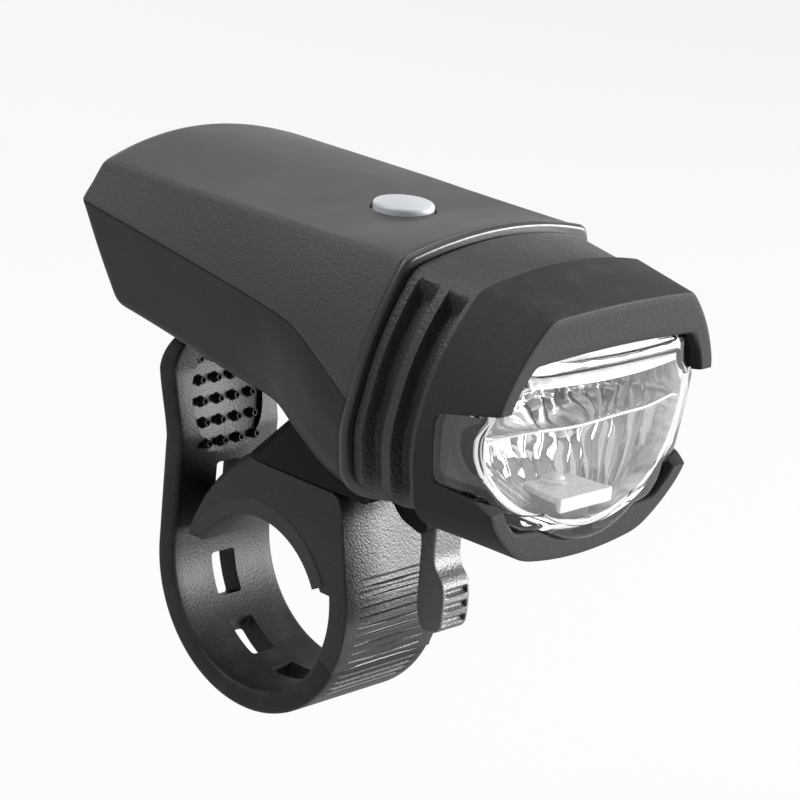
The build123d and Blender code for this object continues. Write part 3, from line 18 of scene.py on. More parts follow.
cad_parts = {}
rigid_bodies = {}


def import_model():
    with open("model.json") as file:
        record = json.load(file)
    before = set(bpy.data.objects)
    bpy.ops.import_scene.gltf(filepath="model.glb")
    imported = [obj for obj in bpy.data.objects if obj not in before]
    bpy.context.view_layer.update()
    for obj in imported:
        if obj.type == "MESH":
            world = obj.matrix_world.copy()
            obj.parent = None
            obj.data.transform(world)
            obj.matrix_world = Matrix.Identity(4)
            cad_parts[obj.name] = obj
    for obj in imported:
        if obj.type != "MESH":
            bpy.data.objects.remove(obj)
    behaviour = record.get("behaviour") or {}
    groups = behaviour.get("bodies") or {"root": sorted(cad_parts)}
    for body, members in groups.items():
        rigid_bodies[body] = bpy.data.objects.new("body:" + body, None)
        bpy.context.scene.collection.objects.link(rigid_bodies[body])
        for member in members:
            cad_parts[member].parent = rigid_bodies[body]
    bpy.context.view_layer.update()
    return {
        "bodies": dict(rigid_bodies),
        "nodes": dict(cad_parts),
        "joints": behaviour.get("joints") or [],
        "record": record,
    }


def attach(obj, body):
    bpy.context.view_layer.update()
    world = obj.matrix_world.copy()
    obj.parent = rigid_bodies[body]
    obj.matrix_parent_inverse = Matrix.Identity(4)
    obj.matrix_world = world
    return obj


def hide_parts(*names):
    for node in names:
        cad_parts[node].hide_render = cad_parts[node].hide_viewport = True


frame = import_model()

log = logging.getLogger("headlight")
MM = 0.001
Array = np.ndarray
Colour = tuple[float, ...]


# Node trees

class Net:
    """A node tree with short ways to add nodes to it."""

    def __init__(self, tree: bpy.types.NodeTree) -> None:
        """Takes the tree."""
        self.tree = tree

    def put(self, kind: str, values: Optional[dict] = None, **settings: Any) -> bpy.types.Node:
        """Adds a node.

        Args:
            kind: the node's type name after ShaderNode.
            values: numbers, colours or other nodes' outputs, by socket name or number.
            settings: the node's own settings.

        Returns:
            The new node.
        """
        made = self.tree.nodes.new("ShaderNode" + kind)
        for name, value in settings.items():
            setattr(made, name, value)
        for key, value in (values or {}).items():
            self.join(value, made.inputs[key])
        return made

    def join(self, value: Any, socket: bpy.types.NodeSocket) -> None:
        """Links an output to a socket, or sets the socket to a plain value."""
        if isinstance(value, bpy.types.NodeSocket):
            self.tree.links.new(value, socket)
        else:
            socket.default_value = value

    def maths(self, how: str, *values: Any) -> bpy.types.NodeSocket:
        """The output of a maths node on numbers or outputs."""
        return self.put("Math", dict(enumerate(values)), operation=how).outputs[0]

    def ramp(self, value: Any, low: float, high: float, start: float = 0.0,
             end: float = 1.0) -> bpy.types.NodeSocket:
        """A value carried smoothly from the range low to high onto the range start to end."""
        limits = {"From Min": low, "From Max": high, "To Min": start, "To Max": end}
        return self.put("MapRange", {"Value": value, **limits},
                        interpolation_type="SMOOTHSTEP").outputs["Result"]

    def mix(self, share: Any, first: Any, second: Any) -> bpy.types.NodeSocket:
        """The colour that lies a share of the way from the first to the second."""
        return self.put("Mix", {0: share, 6: first, 7: second}, data_type="RGBA").outputs[2]

    def noise(self, place: Any, scale: Any, detail: float,
              rough: float = 0.5) -> bpy.types.NodeSocket:
        """Noise with the given scale, in waves per metre."""
        return self.put("TexNoise", {"Vector": place, "Scale": scale, "Detail": detail,
                                     "Roughness": rough}).outputs["Fac"]


class Paint(Net):
    """A material in the making, with its shader's sockets and the piece's own coordinates."""

    def __init__(self, name: str) -> None:
        """Starts the material."""
        self.material = bpy.data.materials.new(name)
        self.material.use_nodes = True
        super().__init__(self.material.node_tree)
        self.shader = self.tree.nodes["Principled BSDF"]
        self.place = self.put("TexCoord").outputs["Object"]

    def group(self, tree: bpy.types.NodeTree, **values: float) -> Any:
        """The outputs of a shared group on the piece's coordinates, with its numbers by name."""
        return self.put("Group", {"Vector": self.place, **values}, node_tree=tree).outputs

    def bump(self, height: Any, distance: float, strength: Any) -> bpy.types.NodeSocket:
        """The normal of a surface raised by a height, for a full height of distance metres."""
        values = {"Strength": strength, "Distance": distance, "Height": height}
        return self.put("Bump", values).outputs["Normal"]

    def shade(self, values: dict[str, Any]) -> bpy.types.Material:
        """Sets or links the shader's sockets by name, and returns the material."""
        for name, value in values.items():
            self.join(value, self.shader.inputs[name])
        return self.material


def grey(tone: float, tint: float = 0.0) -> Colour:
    """A grey of the given lightness, a little bluer for a positive tint."""
    return (tone * (1 - tint), tone, tone * (1 + tint), 1.0)


def dimmed(colour: Colour, share: float = 1.0) -> Colour:
    """An opaque colour at a share of its lightness."""
    return (*(share * c for c in colour), 1.0)


def new_group(name: str, numbers: dict[str, float], outputs: Sequence[str]) -> tuple[Net, Any, Any]:
    """Starts a shader node group that works on a vector.

    Args:
        name: the group's name.
        numbers: its number inputs with their usual values.
        outputs: names of its number outputs.

    Returns:
        The tree, what is given to it and what it gives.
    """
    tree = bpy.data.node_groups.new(name, "ShaderNodeTree")
    tree.interface.new_socket("Vector", in_out="INPUT", socket_type="NodeSocketVector")
    for label, value in numbers.items():
        made = tree.interface.new_socket(label, in_out="INPUT", socket_type="NodeSocketFloat")
        made.default_value = value
    for label in outputs:
        tree.interface.new_socket(label, in_out="OUTPUT", socket_type="NodeSocketFloat")
    given, out = (tree.nodes.new("NodeGroup" + end) for end in ("Input", "Output"))
    return Net(tree), given.outputs, out.inputs


class Effects:
    """Shader node groups that the finishes share."""

    MIDDLE = (0.35, 0.65)
    PEBBLE_MELT = 0.6
    WARP_FINER, SAND_FINER = 1.4, 2.3
    PATCH_SCALE, BROAD_SCALE = 260.0, 55.0
    WORN_PATCHES = (0.42, 0.68, 0.25, 1.0)
    DUSTY_PATCHES = (0.45, 0.75)
    DUSTY_SLOPES = (0.3, 1.0)

    def __init__(self) -> None:
        """Builds each group once."""
        self.grain = self._grain()
        self.handling = self._handling()

    def _grain(self) -> bpy.types.NodeTree:
        """Moulded grain: small rounded pebbles over finer sand, as a height and a fleck of tone.

        The height is (1 - d^2) (w + 1/2) + sand, with d the distance from the nearest pebble's
        middle and w a noise that makes some pebbles higher than others.
        """
        net, given, out = new_group("moulded_grain", {"Scale": 1500.0, "Sand": 0.5},
                                    ("Height", "Fleck"))
        place, scale = given["Vector"], given["Scale"]
        pebbles = {"Vector": place, "Scale": scale, "Smoothness": self.PEBBLE_MELT}
        pebble = net.put("TexVoronoi", pebbles, feature="SMOOTH_F1").outputs["Distance"]
        warp = net.noise(place, net.maths("MULTIPLY", scale, self.WARP_FINER), 3.0, 0.6)
        sand = net.noise(place, net.maths("MULTIPLY", scale, self.SAND_FINER), 2.0)
        round_top = net.maths("SUBTRACT", 1.0, net.maths("MULTIPLY", pebble, pebble))
        body = net.maths("MULTIPLY", round_top, net.maths("ADD", warp, 0.5))
        net.join(net.maths("MULTIPLY_ADD", sand, given["Sand"], body), out["Height"])
        net.join(net.ramp(warp, *self.MIDDLE), out["Fleck"])
        return net.tree

    def _handling(self) -> bpy.types.NodeTree:
        """Traces of use: rubbed edges that the mesh marks, lightened also as a painted edge
        highlight, dust on faces that look up, smudges.
        """
        net, given, out = new_group("handling", {"Rub": 0.5, "Dust": 0.2},
                                    ("Wear_and_highlight", "Dust", "Smudge"))
        place = given["Vector"]
        edge = net.put("Attribute", attribute_name="rub").outputs["Fac"]
        patch = net.noise(place, self.PATCH_SCALE, 4.0, 0.65)
        broad = net.noise(place, self.BROAD_SCALE, 3.0)
        # The rub mark lightens edges in patches: wear, and also a painted highlight along the
        # edges.
        worn_and_highlit = net.maths("MULTIPLY", edge, net.ramp(patch, *self.WORN_PATCHES))
        net.join(net.maths("MULTIPLY", worn_and_highlit, given["Rub"]), out["Wear_and_highlight"])
        up = net.put("SeparateXYZ", {0: net.put("NewGeometry").outputs["Normal"]}).outputs["Z"]
        dust = net.maths("MULTIPLY", net.ramp(up, *self.DUSTY_SLOPES),
                         net.ramp(patch, *self.DUSTY_PATCHES))
        net.join(net.maths("MULTIPLY", dust, given["Dust"]), out["Dust"])
        net.join(net.ramp(broad, *self.MIDDLE), out["Smudge"])
        return net.tree


# Finishes

class Finish:
    """What all finishes share: a finish says what its shader's sockets get."""

    def sockets(self, paint: Paint, effects: Effects) -> dict[str, Any]:
        """Values or outputs for the shader's sockets, by name.

        Args:
            paint: the material in the making.
            effects: the shared node groups.

        Returns:
            The values.
        """
        raise NotImplementedError

    def material(self, name: str, effects: Effects) -> bpy.types.Material:
        """The material under the given name."""
        paint = Paint(name)
        return paint.shade(self.sockets(paint, effects))


@dataclass(frozen=True)
class Plastic(Finish):
    """Moulded plastic or rubber with its grain, smudges and rubbed edges, whose lighter colour is
    partly wear and partly a painted highlight.

    Tone is its lightness, grain the number of grains per metre and depth how strongly they show,
    sand the share of fine grain, rub how far the lighter rubbed edges show (wear and painted
    highlight) and dust how far dust shows, and gloss the shader's specular level.
    """

    tone: float
    tint: float = 0.01
    rough: float = 0.45
    grain: float = 1800.0
    depth: float = 0.15
    sand: float = 0.5
    rub: float = 0.35
    dust: float = 0.15
    gloss: float = 0.5

    FLECK = 0.12
    SMUDGE = 0.35
    DUST, DUST_COLOUR = 0.25, grey(0.25, -0.03)
    WORN_TIMES, WORN_PLUS = 2.2, 0.03
    SMUDGE_ROUGH, WEAR_ROUGH = 0.06, -0.12
    GRAIN_HEIGHT = 0.0001

    def sockets(self, paint: Paint, effects: Effects) -> dict[str, Any]:
        """See Finish: flecked colour, then smudges, dust, and wear with a painted edge highlight
        over it.
        """
        grain = paint.group(effects.grain, Scale=self.grain, Sand=self.sand)
        use = paint.group(effects.handling, Rub=self.rub, Dust=self.dust)
        colour = paint.mix(grain["Fleck"], grey(self.tone * (1 - self.FLECK), self.tint),
                           grey(self.tone * (1 + self.FLECK), self.tint))
        smudge = paint.maths("MULTIPLY", use["Smudge"], self.SMUDGE)
        colour = paint.mix(smudge, colour, grey(self.tone, self.tint))
        dust = paint.maths("MULTIPLY", use["Dust"], self.DUST)
        colour = paint.mix(dust, colour, self.DUST_COLOUR)
        # Rubbed edges get a lighter colour: partly wear, partly a painted highlight on the edges.
        worn_and_highlit = grey(self.tone * self.WORN_TIMES + self.WORN_PLUS, self.tint)
        colour = paint.mix(use["Wear_and_highlight"], colour, worn_and_highlit)
        rough = paint.maths("MULTIPLY_ADD", use["Smudge"], self.SMUDGE_ROUGH,
                            self.rough - self.SMUDGE_ROUGH / 2)
        rough = paint.maths("MULTIPLY_ADD", use["Wear_and_highlight"], self.WEAR_ROUGH, rough)
        sleek = paint.put("Attribute", attribute_name="sleek").outputs["Fac"]
        depth = paint.maths("MULTIPLY", paint.maths("SUBTRACT", 1.0, sleek), self.depth)
        return {"Base Color": colour, "Roughness": rough, "Specular IOR Level": self.gloss,
                "Normal": paint.bump(grain["Height"], self.GRAIN_HEIGHT, depth)}


@dataclass(frozen=True)
class Metal(Finish):
    """Bare or plated metal with fine scratches."""

    colour: Colour
    rough: float = 0.3
    scratch: float = 0.2

    SMUDGED = 0.82
    SCRATCH_SCALE = (300.0, 4000.0, 2500.0)
    SCRATCH_HEIGHT = 0.00003
    SCRATCH_ROUGH, ROUGH_BELOW = 0.12, 0.05

    def sockets(self, paint: Paint, effects: Effects) -> dict[str, Any]:
        """See Finish: long thin scratches from noise stretched along X."""
        stretched = paint.put("Mapping", {"Vector": paint.place, "Scale": self.SCRATCH_SCALE})
        lines = paint.noise(stretched.outputs[0], 1.0, 3.0)
        smudge = paint.group(effects.handling)["Smudge"]
        dull = dimmed(self.colour, self.SMUDGED)
        return {"Base Color": paint.mix(smudge, dimmed(self.colour), dull),
                "Metallic": 1.0,
                "Roughness": paint.maths("MULTIPLY_ADD", lines, self.SCRATCH_ROUGH,
                                         self.rough - self.ROUGH_BELOW),
                "Normal": paint.bump(lines, self.SCRATCH_HEIGHT, self.scratch)}


@dataclass(frozen=True)
class Clear(Finish):
    """Clear or frosted plastic."""

    colour: Colour = (1.0, 1.0, 1.0)
    rough: float = 0.0
    clearness: float = 1.0

    SMUDGED, SMUDGE_ROUGH = 0.97, 0.02
    IOR = 1.5

    def sockets(self, paint: Paint, effects: Effects) -> dict[str, Any]:
        """See Finish."""
        smudge = paint.group(effects.handling)["Smudge"]
        dull = dimmed(self.colour, self.SMUDGED)
        return {"Base Color": paint.mix(smudge, dimmed(self.colour), dull),
                "Roughness": paint.maths("MULTIPLY_ADD", smudge, self.SMUDGE_ROUGH, self.rough),
                "IOR": self.IOR, "Transmission Weight": self.clearness}


@dataclass(frozen=True)
class Board(Finish):
    """Solder mask with faint tracks and pads under it."""

    colour: Colour
    track: Colour

    TRACK_SCALE, TRACK_WIDTH = 260.0, 0.06
    TRACK_HEIGHT, TRACK_STRENGTH = 0.00005, 0.2
    ROUGH = 0.35

    def sockets(self, paint: Paint, effects: Effects) -> dict[str, Any]:
        """See Finish; the shared groups aren't needed."""
        mask, track = dimmed(self.colour), dimmed(self.track)
        tracks = paint.put("TexBrick", {
            "Vector": paint.place, "Scale": self.TRACK_SCALE, "Mortar Size": self.TRACK_WIDTH,
            "Color1": mask, "Color2": track, "Mortar": track}).outputs
        return {"Base Color": tracks["Color"], "Roughness": self.ROUGH,
                "Normal": paint.bump(tracks["Fac"], self.TRACK_HEIGHT, self.TRACK_STRENGTH)}


class Slot(Enum):
    """Material slots of the record, and two finishes of the scene alone."""

    bracket_plastic = Plastic(0.008, rough=0.45, grain=3000.0, depth=0.42, gloss=0.28)
    # The shoe's plastic is darker and less glossy than the bracket's: painted shade for its place
    # under the lamp.
    shoe_plastic = Plastic(0.004, rough=0.42, grain=3000.0, depth=0.3, gloss=0.08)
    # The lever is the bracket's black plastic made lighter: painted light for the strong front lamp
    # on its face.
    lever_plastic = Plastic(0.036, rough=0.5, grain=3000.0, depth=0.5, gloss=0.5)
    strap_rubber = Plastic(0.009, rough=0.5, grain=3000.0, depth=0.3, gloss=0.14)
    pad_rubber = Plastic(0.008, rough=0.65, grain=1800.0, depth=0.25)
    seal_rubber = Plastic(0.010, rough=0.5, grain=1800.0, depth=0.03, gloss=0.3)
    cover_rubber = Plastic(0.018, rough=0.6, grain=2000.0, depth=0.2)
    screw_steel = Metal((0.55, 0.55, 0.56))
    top_plastic = Plastic(0.034, rough=0.5, grain=3200.0, depth=0.6, gloss=0.2)
    body_plastic = Plastic(0.021, rough=0.5, grain=2800.0, depth=0.3, gloss=0.1)
    rim_plastic = Plastic(0.024, rough=0.38, grain=2600.0, depth=0.1, gloss=0.3)
    neck_plastic = Plastic(0.022, rough=0.45, grain=2100.0, depth=1.0, gloss=0.25)
    bezel_plastic = Plastic(0.026, rough=0.5, grain=3000.0, depth=0.35, gloss=0.03)
    clear_lens = Clear()
    reflector_chrome = Metal((0.9, 0.9, 0.91), rough=0.08, scratch=0.02)
    light_board = Plastic(0.88, rough=0.4, grain=1200.0, depth=0.05, rub=0.0)
    led_phosphor = Plastic(0.7, rough=0.4, grain=3000.0, depth=0.1, rub=0.0)
    sink_aluminium = Metal((0.6, 0.61, 0.62), rough=0.45)
    circuit_board = Board((0.02, 0.12, 0.05), (0.05, 0.2, 0.08))
    switch_body = Plastic(0.05, rough=0.35)
    frosted_cap = Clear((0.50, 0.52, 0.55), rough=0.4, clearness=0.35)
    cell_wrap = Plastic(0.33, tint=0.08, rough=0.35, grain=900.0, depth=0.2)
    tray_plastic = Plastic(0.1, rough=0.5)
    tab_nickel = Metal((0.65, 0.63, 0.6), rough=0.25)
    band_satin = Metal((0.96, 0.96, 0.97), rough=0.42, scratch=0.05)
    pin_steel = Metal((0.05, 0.05, 0.052), rough=0.4)


class Wardrobe:
    """Makes each finish once and puts it on pieces."""

    def __init__(self) -> None:
        """Prepares the shared effects."""
        self.effects = Effects()
        self.made: dict[Slot, bpy.types.Material] = {}

    def dress(self, piece: bpy.types.Object, slot: Slot) -> None:
        """Gives a piece one finish all over."""
        if slot not in self.made:
            self.made[slot] = slot.value.material(slot.name, self.effects)
        piece.data.materials.clear()
        piece.data.materials.append(self.made[slot])

    def fit(self, piece: bpy.types.Object, slot: Slot, body: str, *nodes: str) -> None:
        """Dresses a new piece, makes it ride on a body and stand for CAD nodes.

        Args:
            piece: the piece.
            slot: its finish.
            body: the body it moves with.
            nodes: the nodes it replaces.
        """
        self.dress(piece, slot)
        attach(piece, body)
        if nodes:
            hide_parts(*nodes)
        log.info("%s: %d faces", piece.name, len(piece.data.polygons))


# Meshes

CREASE = 32.0
CORNER_SHARE, BEND_SHARE = 0.45, 0.49
NO_STEP = 1e-7


def bent(start: Array, corner: Array, end: Array, t: Array) -> Array:
    """The quadratic curve (1 - t)^2 start + 2 t (1 - t) corner + t^2 end."""
    return (1 - t) ** 2 * start + 2 * t * (1 - t) * corner + t ** 2 * end


def eased(places: Array, values: Array, at: Array) -> Array:
    """Smooth values between rows, with no overshoot.

    Each span is a cubic whose end slopes are the harmonic mean of the neighbouring spans' slopes,
    and nothing where these differ in sign.

    Args:
        places: increasing places of the rows.
        values: one column per row, any number of lines.
        at: places of any shape.

    Returns:
        The values, with the shape (lines, *at.shape).
    """
    step = np.diff(places)
    slope = np.diff(values, axis=-1) / step
    left, right = slope[..., :-1], slope[..., 1:]
    total = np.where(left * right > 0, left + right, 1.0)
    inner = np.where(left * right > 0, 2 * left * right / total, 0.0)
    ends = np.concatenate([slope[..., :1], inner, slope[..., -1:]], -1)
    span = np.clip(np.searchsorted(places, at) - 1, 0, len(step) - 1)
    h = step[span]
    t = (at - places[span]) / h
    a, b = values[..., span], values[..., span + 1]
    p, q = ends[..., span] * h, ends[..., span + 1] * h
    inside = a + t * (p + t * (3 * (b - a) - 2 * p - q + t * (2 * (a - b) + p + q)))
    before, after = a + t * p, b + (t - 1) * q
    return np.where(t < 0, before, np.where(t > 1, after, inside))


class Skin:
    """Gathers grids of points into the mesh of one piece."""

    MERGE = 2e-6
    MOST_CORNERS = 6

    def __init__(self) -> None:
        """Starts empty."""
        self.points: list[Array] = []
        self.quads: list[Array] = []
        self.ends: list[list[int]] = []
        self.marks: dict[str, list[Array]] = {"rub": [], "sleek": []}
        self.count = 0

    def grid(self, points: Array, wrap: bool = False, ends: bool = False, rub: Any = 0.0,
             sleek: Any = 0.0) -> "Skin":
        """Adds a surface whose quads join neighbours of a grid.

        Args:
            points: rows by columns by three, in millimetres.
            wrap: joins the last row to the first.
            ends: closes the first and last columns with one face each.
            rub: how far each point is rubbed and given a painted edge highlight, from 0 to 1.
            sleek: how far each point's grain is left off, from 0 to 1.

        Returns:
            Itself.
        """
        rows, columns = points.shape[:2]
        index = self.count + np.arange(rows * columns).reshape(rows, columns)
        if wrap:
            index = np.concatenate([index, index[:1]])
        quads = np.stack([index[:-1, :-1], index[1:, :-1], index[1:, 1:], index[:-1, 1:]], -1)
        self.points.append(points.reshape(-1, 3))
        self.quads.append(quads.reshape(-1, 4))
        if ends:
            self.ends += [index[:rows, 0].tolist(), index[:rows, -1][::-1].tolist()]
        for label, value in (("rub", rub), ("sleek", sleek)):
            self.marks[label].append(np.broadcast_to(value, (rows, columns)).reshape(-1))
        self.count += rows * columns
        return self

    def piece(self, name: str, crease: float = CREASE) -> bpy.types.Object:
        """Makes the object.

        Args:
            name: its name.
            crease: edges that turn by more degrees than this stay sharp.

        Returns:
            The object, at the origin.
        """
        mesh = bpy.data.meshes.new(name)
        faces = np.concatenate(self.quads).tolist() + self.ends
        mesh.from_pydata(np.concatenate(self.points) * MM, [], faces)
        for label, values in self.marks.items():
            mark = mesh.attributes.new(label, "FLOAT", "POINT")
            mark.data.foreach_set("value", np.concatenate(values).astype(np.float32))
        work = bmesh.new()
        work.from_mesh(mesh)
        bmesh.ops.remove_doubles(work, verts=work.verts, dist=self.MERGE)
        bmesh.ops.dissolve_degenerate(work, edges=work.edges, dist=self.MERGE / 2)
        bmesh.ops.recalc_face_normals(work, faces=work.faces)
        many = [face for face in work.faces if len(face.verts) > self.MOST_CORNERS]
        bmesh.ops.triangulate(work, faces=many, ngon_method="EAR_CLIP")
        work.to_mesh(mesh)
        work.free()
        return linked(name, smoothed(mesh, crease))


def linked(name: str, data: Any) -> bpy.types.Object:
    """A new object of the scene for a mesh, a camera or a lamp."""
    made = bpy.data.objects.new(name, data)
    bpy.context.scene.collection.objects.link(made)
    return made


def smoothed(mesh: bpy.types.Mesh, crease: float) -> bpy.types.Mesh:
    """Shades a mesh smooth but for edges that turn by more than crease degrees."""
    mesh.shade_smooth()
    mesh.set_sharp_from_angle(angle=np.radians(crease))
    return mesh


def settled(piece: bpy.types.Object, crease: float = CREASE) -> bpy.types.Object:
    """Turns a piece's modifiers into its mesh."""
    now = bpy.context.evaluated_depsgraph_get()
    done = bpy.data.meshes.new_from_object(piece.evaluated_get(now), preserve_all_data_layers=True,
                                           depsgraph=now)
    piece.modifiers.clear()
    piece.data = smoothed(done, crease)
    return piece


def carve(piece: bpy.types.Object, tool: bpy.types.Object) -> bpy.types.Object:
    """Cuts a tool's shape out of a piece and removes the tool."""
    cut = piece.modifiers.new("cut", "BOOLEAN")
    cut.operation, cut.object, cut.solver = "DIFFERENCE", tool, "EXACT"
    settled(piece)
    bpy.data.objects.remove(tool)
    return piece


def bevelled(piece: bpy.types.Object, width: float, angle: float) -> bpy.types.Object:
    """Rounds a piece's edges that turn by more than angle degrees, by width millimetres."""
    bevel = piece.modifiers.new("edges", "BEVEL")
    bevel.width, bevel.segments, bevel.limit_method = width * MM, 2, "ANGLE"
    bevel.angle_limit = np.radians(angle)
    return settled(piece, 40.0)


def walled(piece: bpy.types.Object, wall: float, round_off: float) -> bpy.types.Object:
    """Gives a surface its wall inwards and rounds the wall's edges, both in millimetres."""
    solid = piece.modifiers.new("wall", "SOLIDIFY")
    solid.thickness, solid.offset, solid.use_even_offset = wall * MM, -1.0, True
    solid.thickness_clamp = 1.0
    return bevelled(piece, round_off, 50.0)


def foiled(piece: bpy.types.Object, wall: float) -> bpy.types.Object:
    """Gives a thin bright surface its wall to both sides, in millimetres."""
    solid = piece.modifiers.new("wall", "SOLIDIFY")
    solid.thickness, solid.offset = wall * MM, 0.0
    return settled(piece, 28.0)


def turned(profile: Array, centre: Sequence[float], steps: int) -> Array:
    """The grid of a profile turned about an upright axis.

    Point (r, z) of the profile goes to centre + (r cos t, r sin t, z) for steps + 1 angles t.
    """
    angle = np.linspace(0, 2 * np.pi, steps + 1)
    r, z = profile[:, 0], profile[:, 1]
    made = np.stack([np.outer(np.cos(angle), r), np.outer(np.sin(angle), r),
                     np.broadcast_to(z, (steps + 1, len(z)))], -1)
    return made + np.array(centre)


def rounded(corners: Sequence[Sequence[float]], radii: Sequence[float], steps: int,
            closed: bool = False) -> Array:
    """A run of straight lines whose corners are rounded.

    Each corner becomes the quadratic curve from a point its radius before it to one its radius
    after it, or nearly half the line's length where that is shorter.

    Args:
        corners: the points, of two or three numbers.
        radii: one per corner.
        steps: points in each curve, less one.
        closed: joins the last corner to the first.

    Returns:
        The points in order.
    """
    p = np.asarray(corners, float)
    before, after = np.roll(p, 1, 0), np.roll(p, -1, 0)
    r = np.asarray(radii, float)[:, None]
    back, ahead = before - p, after - p
    back_long = np.linalg.norm(back, axis=1, keepdims=True)
    ahead_long = np.linalg.norm(ahead, axis=1, keepdims=True)
    start = p + back / back_long * np.minimum(r, back_long * BEND_SHARE)
    end = p + ahead / ahead_long * np.minimum(r, ahead_long * BEND_SHARE)
    t = np.linspace(0, 1, steps + 1)[None, :, None]
    curve = bent(start[:, None], p[:, None], end[:, None], t)
    if not closed:
        curve[0], curve[-1] = p[0], p[-1]
    flat = curve.reshape(-1, p.shape[1])
    keep = np.concatenate([[True], np.linalg.norm(np.diff(flat, axis=0), axis=1) > NO_STEP])
    return flat[keep]


def normals(outline: Array) -> Array:
    """Outward corner vectors of a closed outline that runs left-handed round its inside.

    Corner vector m of edges with normals p and q is (p + q) / (1 + p.q), so moving by m keeps both
    edges one length apart from where they were.
    """
    step = np.roll(outline, -1, 0) - outline
    ahead = np.stack([step[:, 1], -step[:, 0]], -1) / np.linalg.norm(step, axis=1, keepdims=True)
    behind = np.roll(ahead, 1, 0)
    return (ahead + behind) / (1 + np.sum(ahead * behind, 1, keepdims=True))


def loaf(skin: Skin, outline: Array, pull: Array, half: float, inner: Sequence[float] = (-1.0, 1.0),
         raised: Optional[Array] = None, raised_half: float = 0.0, steps: int = 5) -> Skin:
    """Adds a bar along X on a closed outline of (y, z) points, with its two end edges rounded.

    A point's line, at angle a from 0 to 90 degrees in from its end, is at x = half - r (1 - cos a)
    and outline + pull (1 - sin a), where r is the length of its pull. Between its ends it is
    straight. The rub mark, for wear and a painted edge highlight together, is highest where 40% of
    the pull is reached.

    Args:
        skin: the skin it is added to.
        outline: the points, counted so that the outside is on their right.
        pull: how far each point moves inwards at the end faces.
        half: half the bar's length.
        inner: shares of the straight part at which it has columns.
        raised: how far each point stands out.
        raised_half: half the width over which points stand out.
        steps: steps in each rounding.

    Returns:
        The skin.
    """
    r = np.linalg.norm(pull, axis=1)[:, None]
    a = np.linspace(0, np.pi / 2, steps + 1)[None, :-1]
    edge, ease = half - r * (1 - np.cos(a)), np.broadcast_to(1 - np.sin(a), (len(outline), steps))
    middle = np.array(inner)[None] * (half - r)
    x = np.concatenate([-edge, middle, edge[:, ::-1]], 1)
    share = np.concatenate([ease, 0 * middle, ease[:, ::-1]], 1)
    yz = outline[:, None] + pull[:, None] * share[..., None]
    if raised is not None:
        mask = np.abs(x) <= raised_half
        yz = yz + normals(outline)[:, None] * (raised[:, None] * mask)[..., None]
    points = np.concatenate([x[..., None], yz], -1)
    rub = np.clip(0.9 - 2 * np.abs(share - 0.4), 0, 1)
    return skin.grid(points, wrap=True, ends=True, rub=rub)


def arc(start: float, end: float, radius: float, count: int,
        centre: Sequence[float] = (0.0, 0.0)) -> Array:
    """(y, z) points of an arc about an axis along X, in degrees from the rear over the top."""
    turn = np.radians(np.linspace(start, end, count))
    return np.stack([centre[0] + radius * np.cos(turn), centre[1] + radius * np.sin(turn)], -1)


def brick(x0: float, x1: float, y0: float, y1: float, z0: float, z1: float) -> bpy.types.Object:
    """A plain block to carve with."""
    ring = np.array([(y1, z0), (y1, z1), (y0, z1), (y0, z0)])
    points = np.stack([np.column_stack([np.full(4, x), ring]) for x in (x0, x1)], 1)
    return Skin().grid(points, wrap=True, ends=True).piece("brick")


def prism(outline: Array, x0: float, x1: float, name: str) -> bpy.types.Object:
    """A closed prism along X on a ring of (y, z) points."""
    ring = np.stack([np.zeros(len(outline)), outline[:, 0], outline[:, 1]], -1)
    middle = ring.mean(0)
    ends = ((0.0, x0), (1.0, x0), (1.0, x1), (0.0, x1))
    rows = [middle + (ring - middle) * share + (x, 0, 0) for share, x in ends]
    return Skin().grid(np.stack(rows, 1), wrap=True).piece(name)


# Lamp

# Cross-sections as shares of the lamp's sizes. A row of the body is its place along it, its lean
# and crown, half widths and heights of four corners, the belly's height and three bulges. The
# bezel's rows start at the corners.
BODY_SHARES = (
    (-0.1, 0.0, 1.45, 0.832, -0.006, 0.968, 0.125, 0.877, 0.337, 0.773, 0.522,
     0.565, 0.0, 0.0, 0.0),
    (0.12, 0.0, 1.15, 0.832, -0.006, 0.973, 0.168, 0.882, 0.364, 0.773, 0.56,
     0.603, 0.0, 0.0, 0.0),
    (0.53, 0.0, 0.35, 0.832, -0.004, 0.982, 0.255, 0.891, 0.457, 0.777, 0.658,
     0.704, 0.01, 0.0, 0.0),
    (0.67, 0.05, 0.17, 0.815, -0.003, 0.986, 0.288, 0.905, 0.489, 0.777, 0.69,
     0.742, 0.02, 0.0, 0.01),
    (0.78, 0.3, 0.17, 0.805, -0.002, 0.991, 0.323, 0.936, 0.554, 0.768, 0.785,
     0.84, 0.03, 0.01, 0.03),
    (0.89, 0.6, 0.5, 0.794, -0.001, 0.995, 0.418, 0.964, 0.647, 0.736, 0.875,
     0.929, 0.04, 0.02, 0.05),
    (1.0, 1.0, 1.0, 0.782, 0.0, 1.0, 0.524, 0.973, 0.72, 0.664, 0.929,
     1.0, 0.05, 0.02, 0.07),
)
BEZEL_REAR_SHARES = (
    0.709, 0.038, 1.005, 0.446, 0.955, 0.745, 0.659, 0.940, 1.005, 0.055, 0.03, 0.07)
BEZEL_FRONT_SHARES = (
    0.623, 0.076, 0.955, 0.391, 0.886, 0.769, 0.527, 0.981, 1.016, 0.04, 0.012, 0.03)
LEAN, CROWN, BELLY = 1, 2, 11
CORNER_RADII = (0.7, 0.5, 3.0, 1.6)


class Corner(Enum):
    """Corners of the lamp's cross-section.

    Each has the columns of its half width and height, and how far it moves in and up when the
    outline is drawn in by one.
    """

    TOP = (3, 4, 0.7, -1.0)
    CREASE = (5, 6, 1.0, 0.0)
    FLANK = (7, 8, 1.0, 0.0)
    EDGE = (9, 10, 0.7, 0.8)


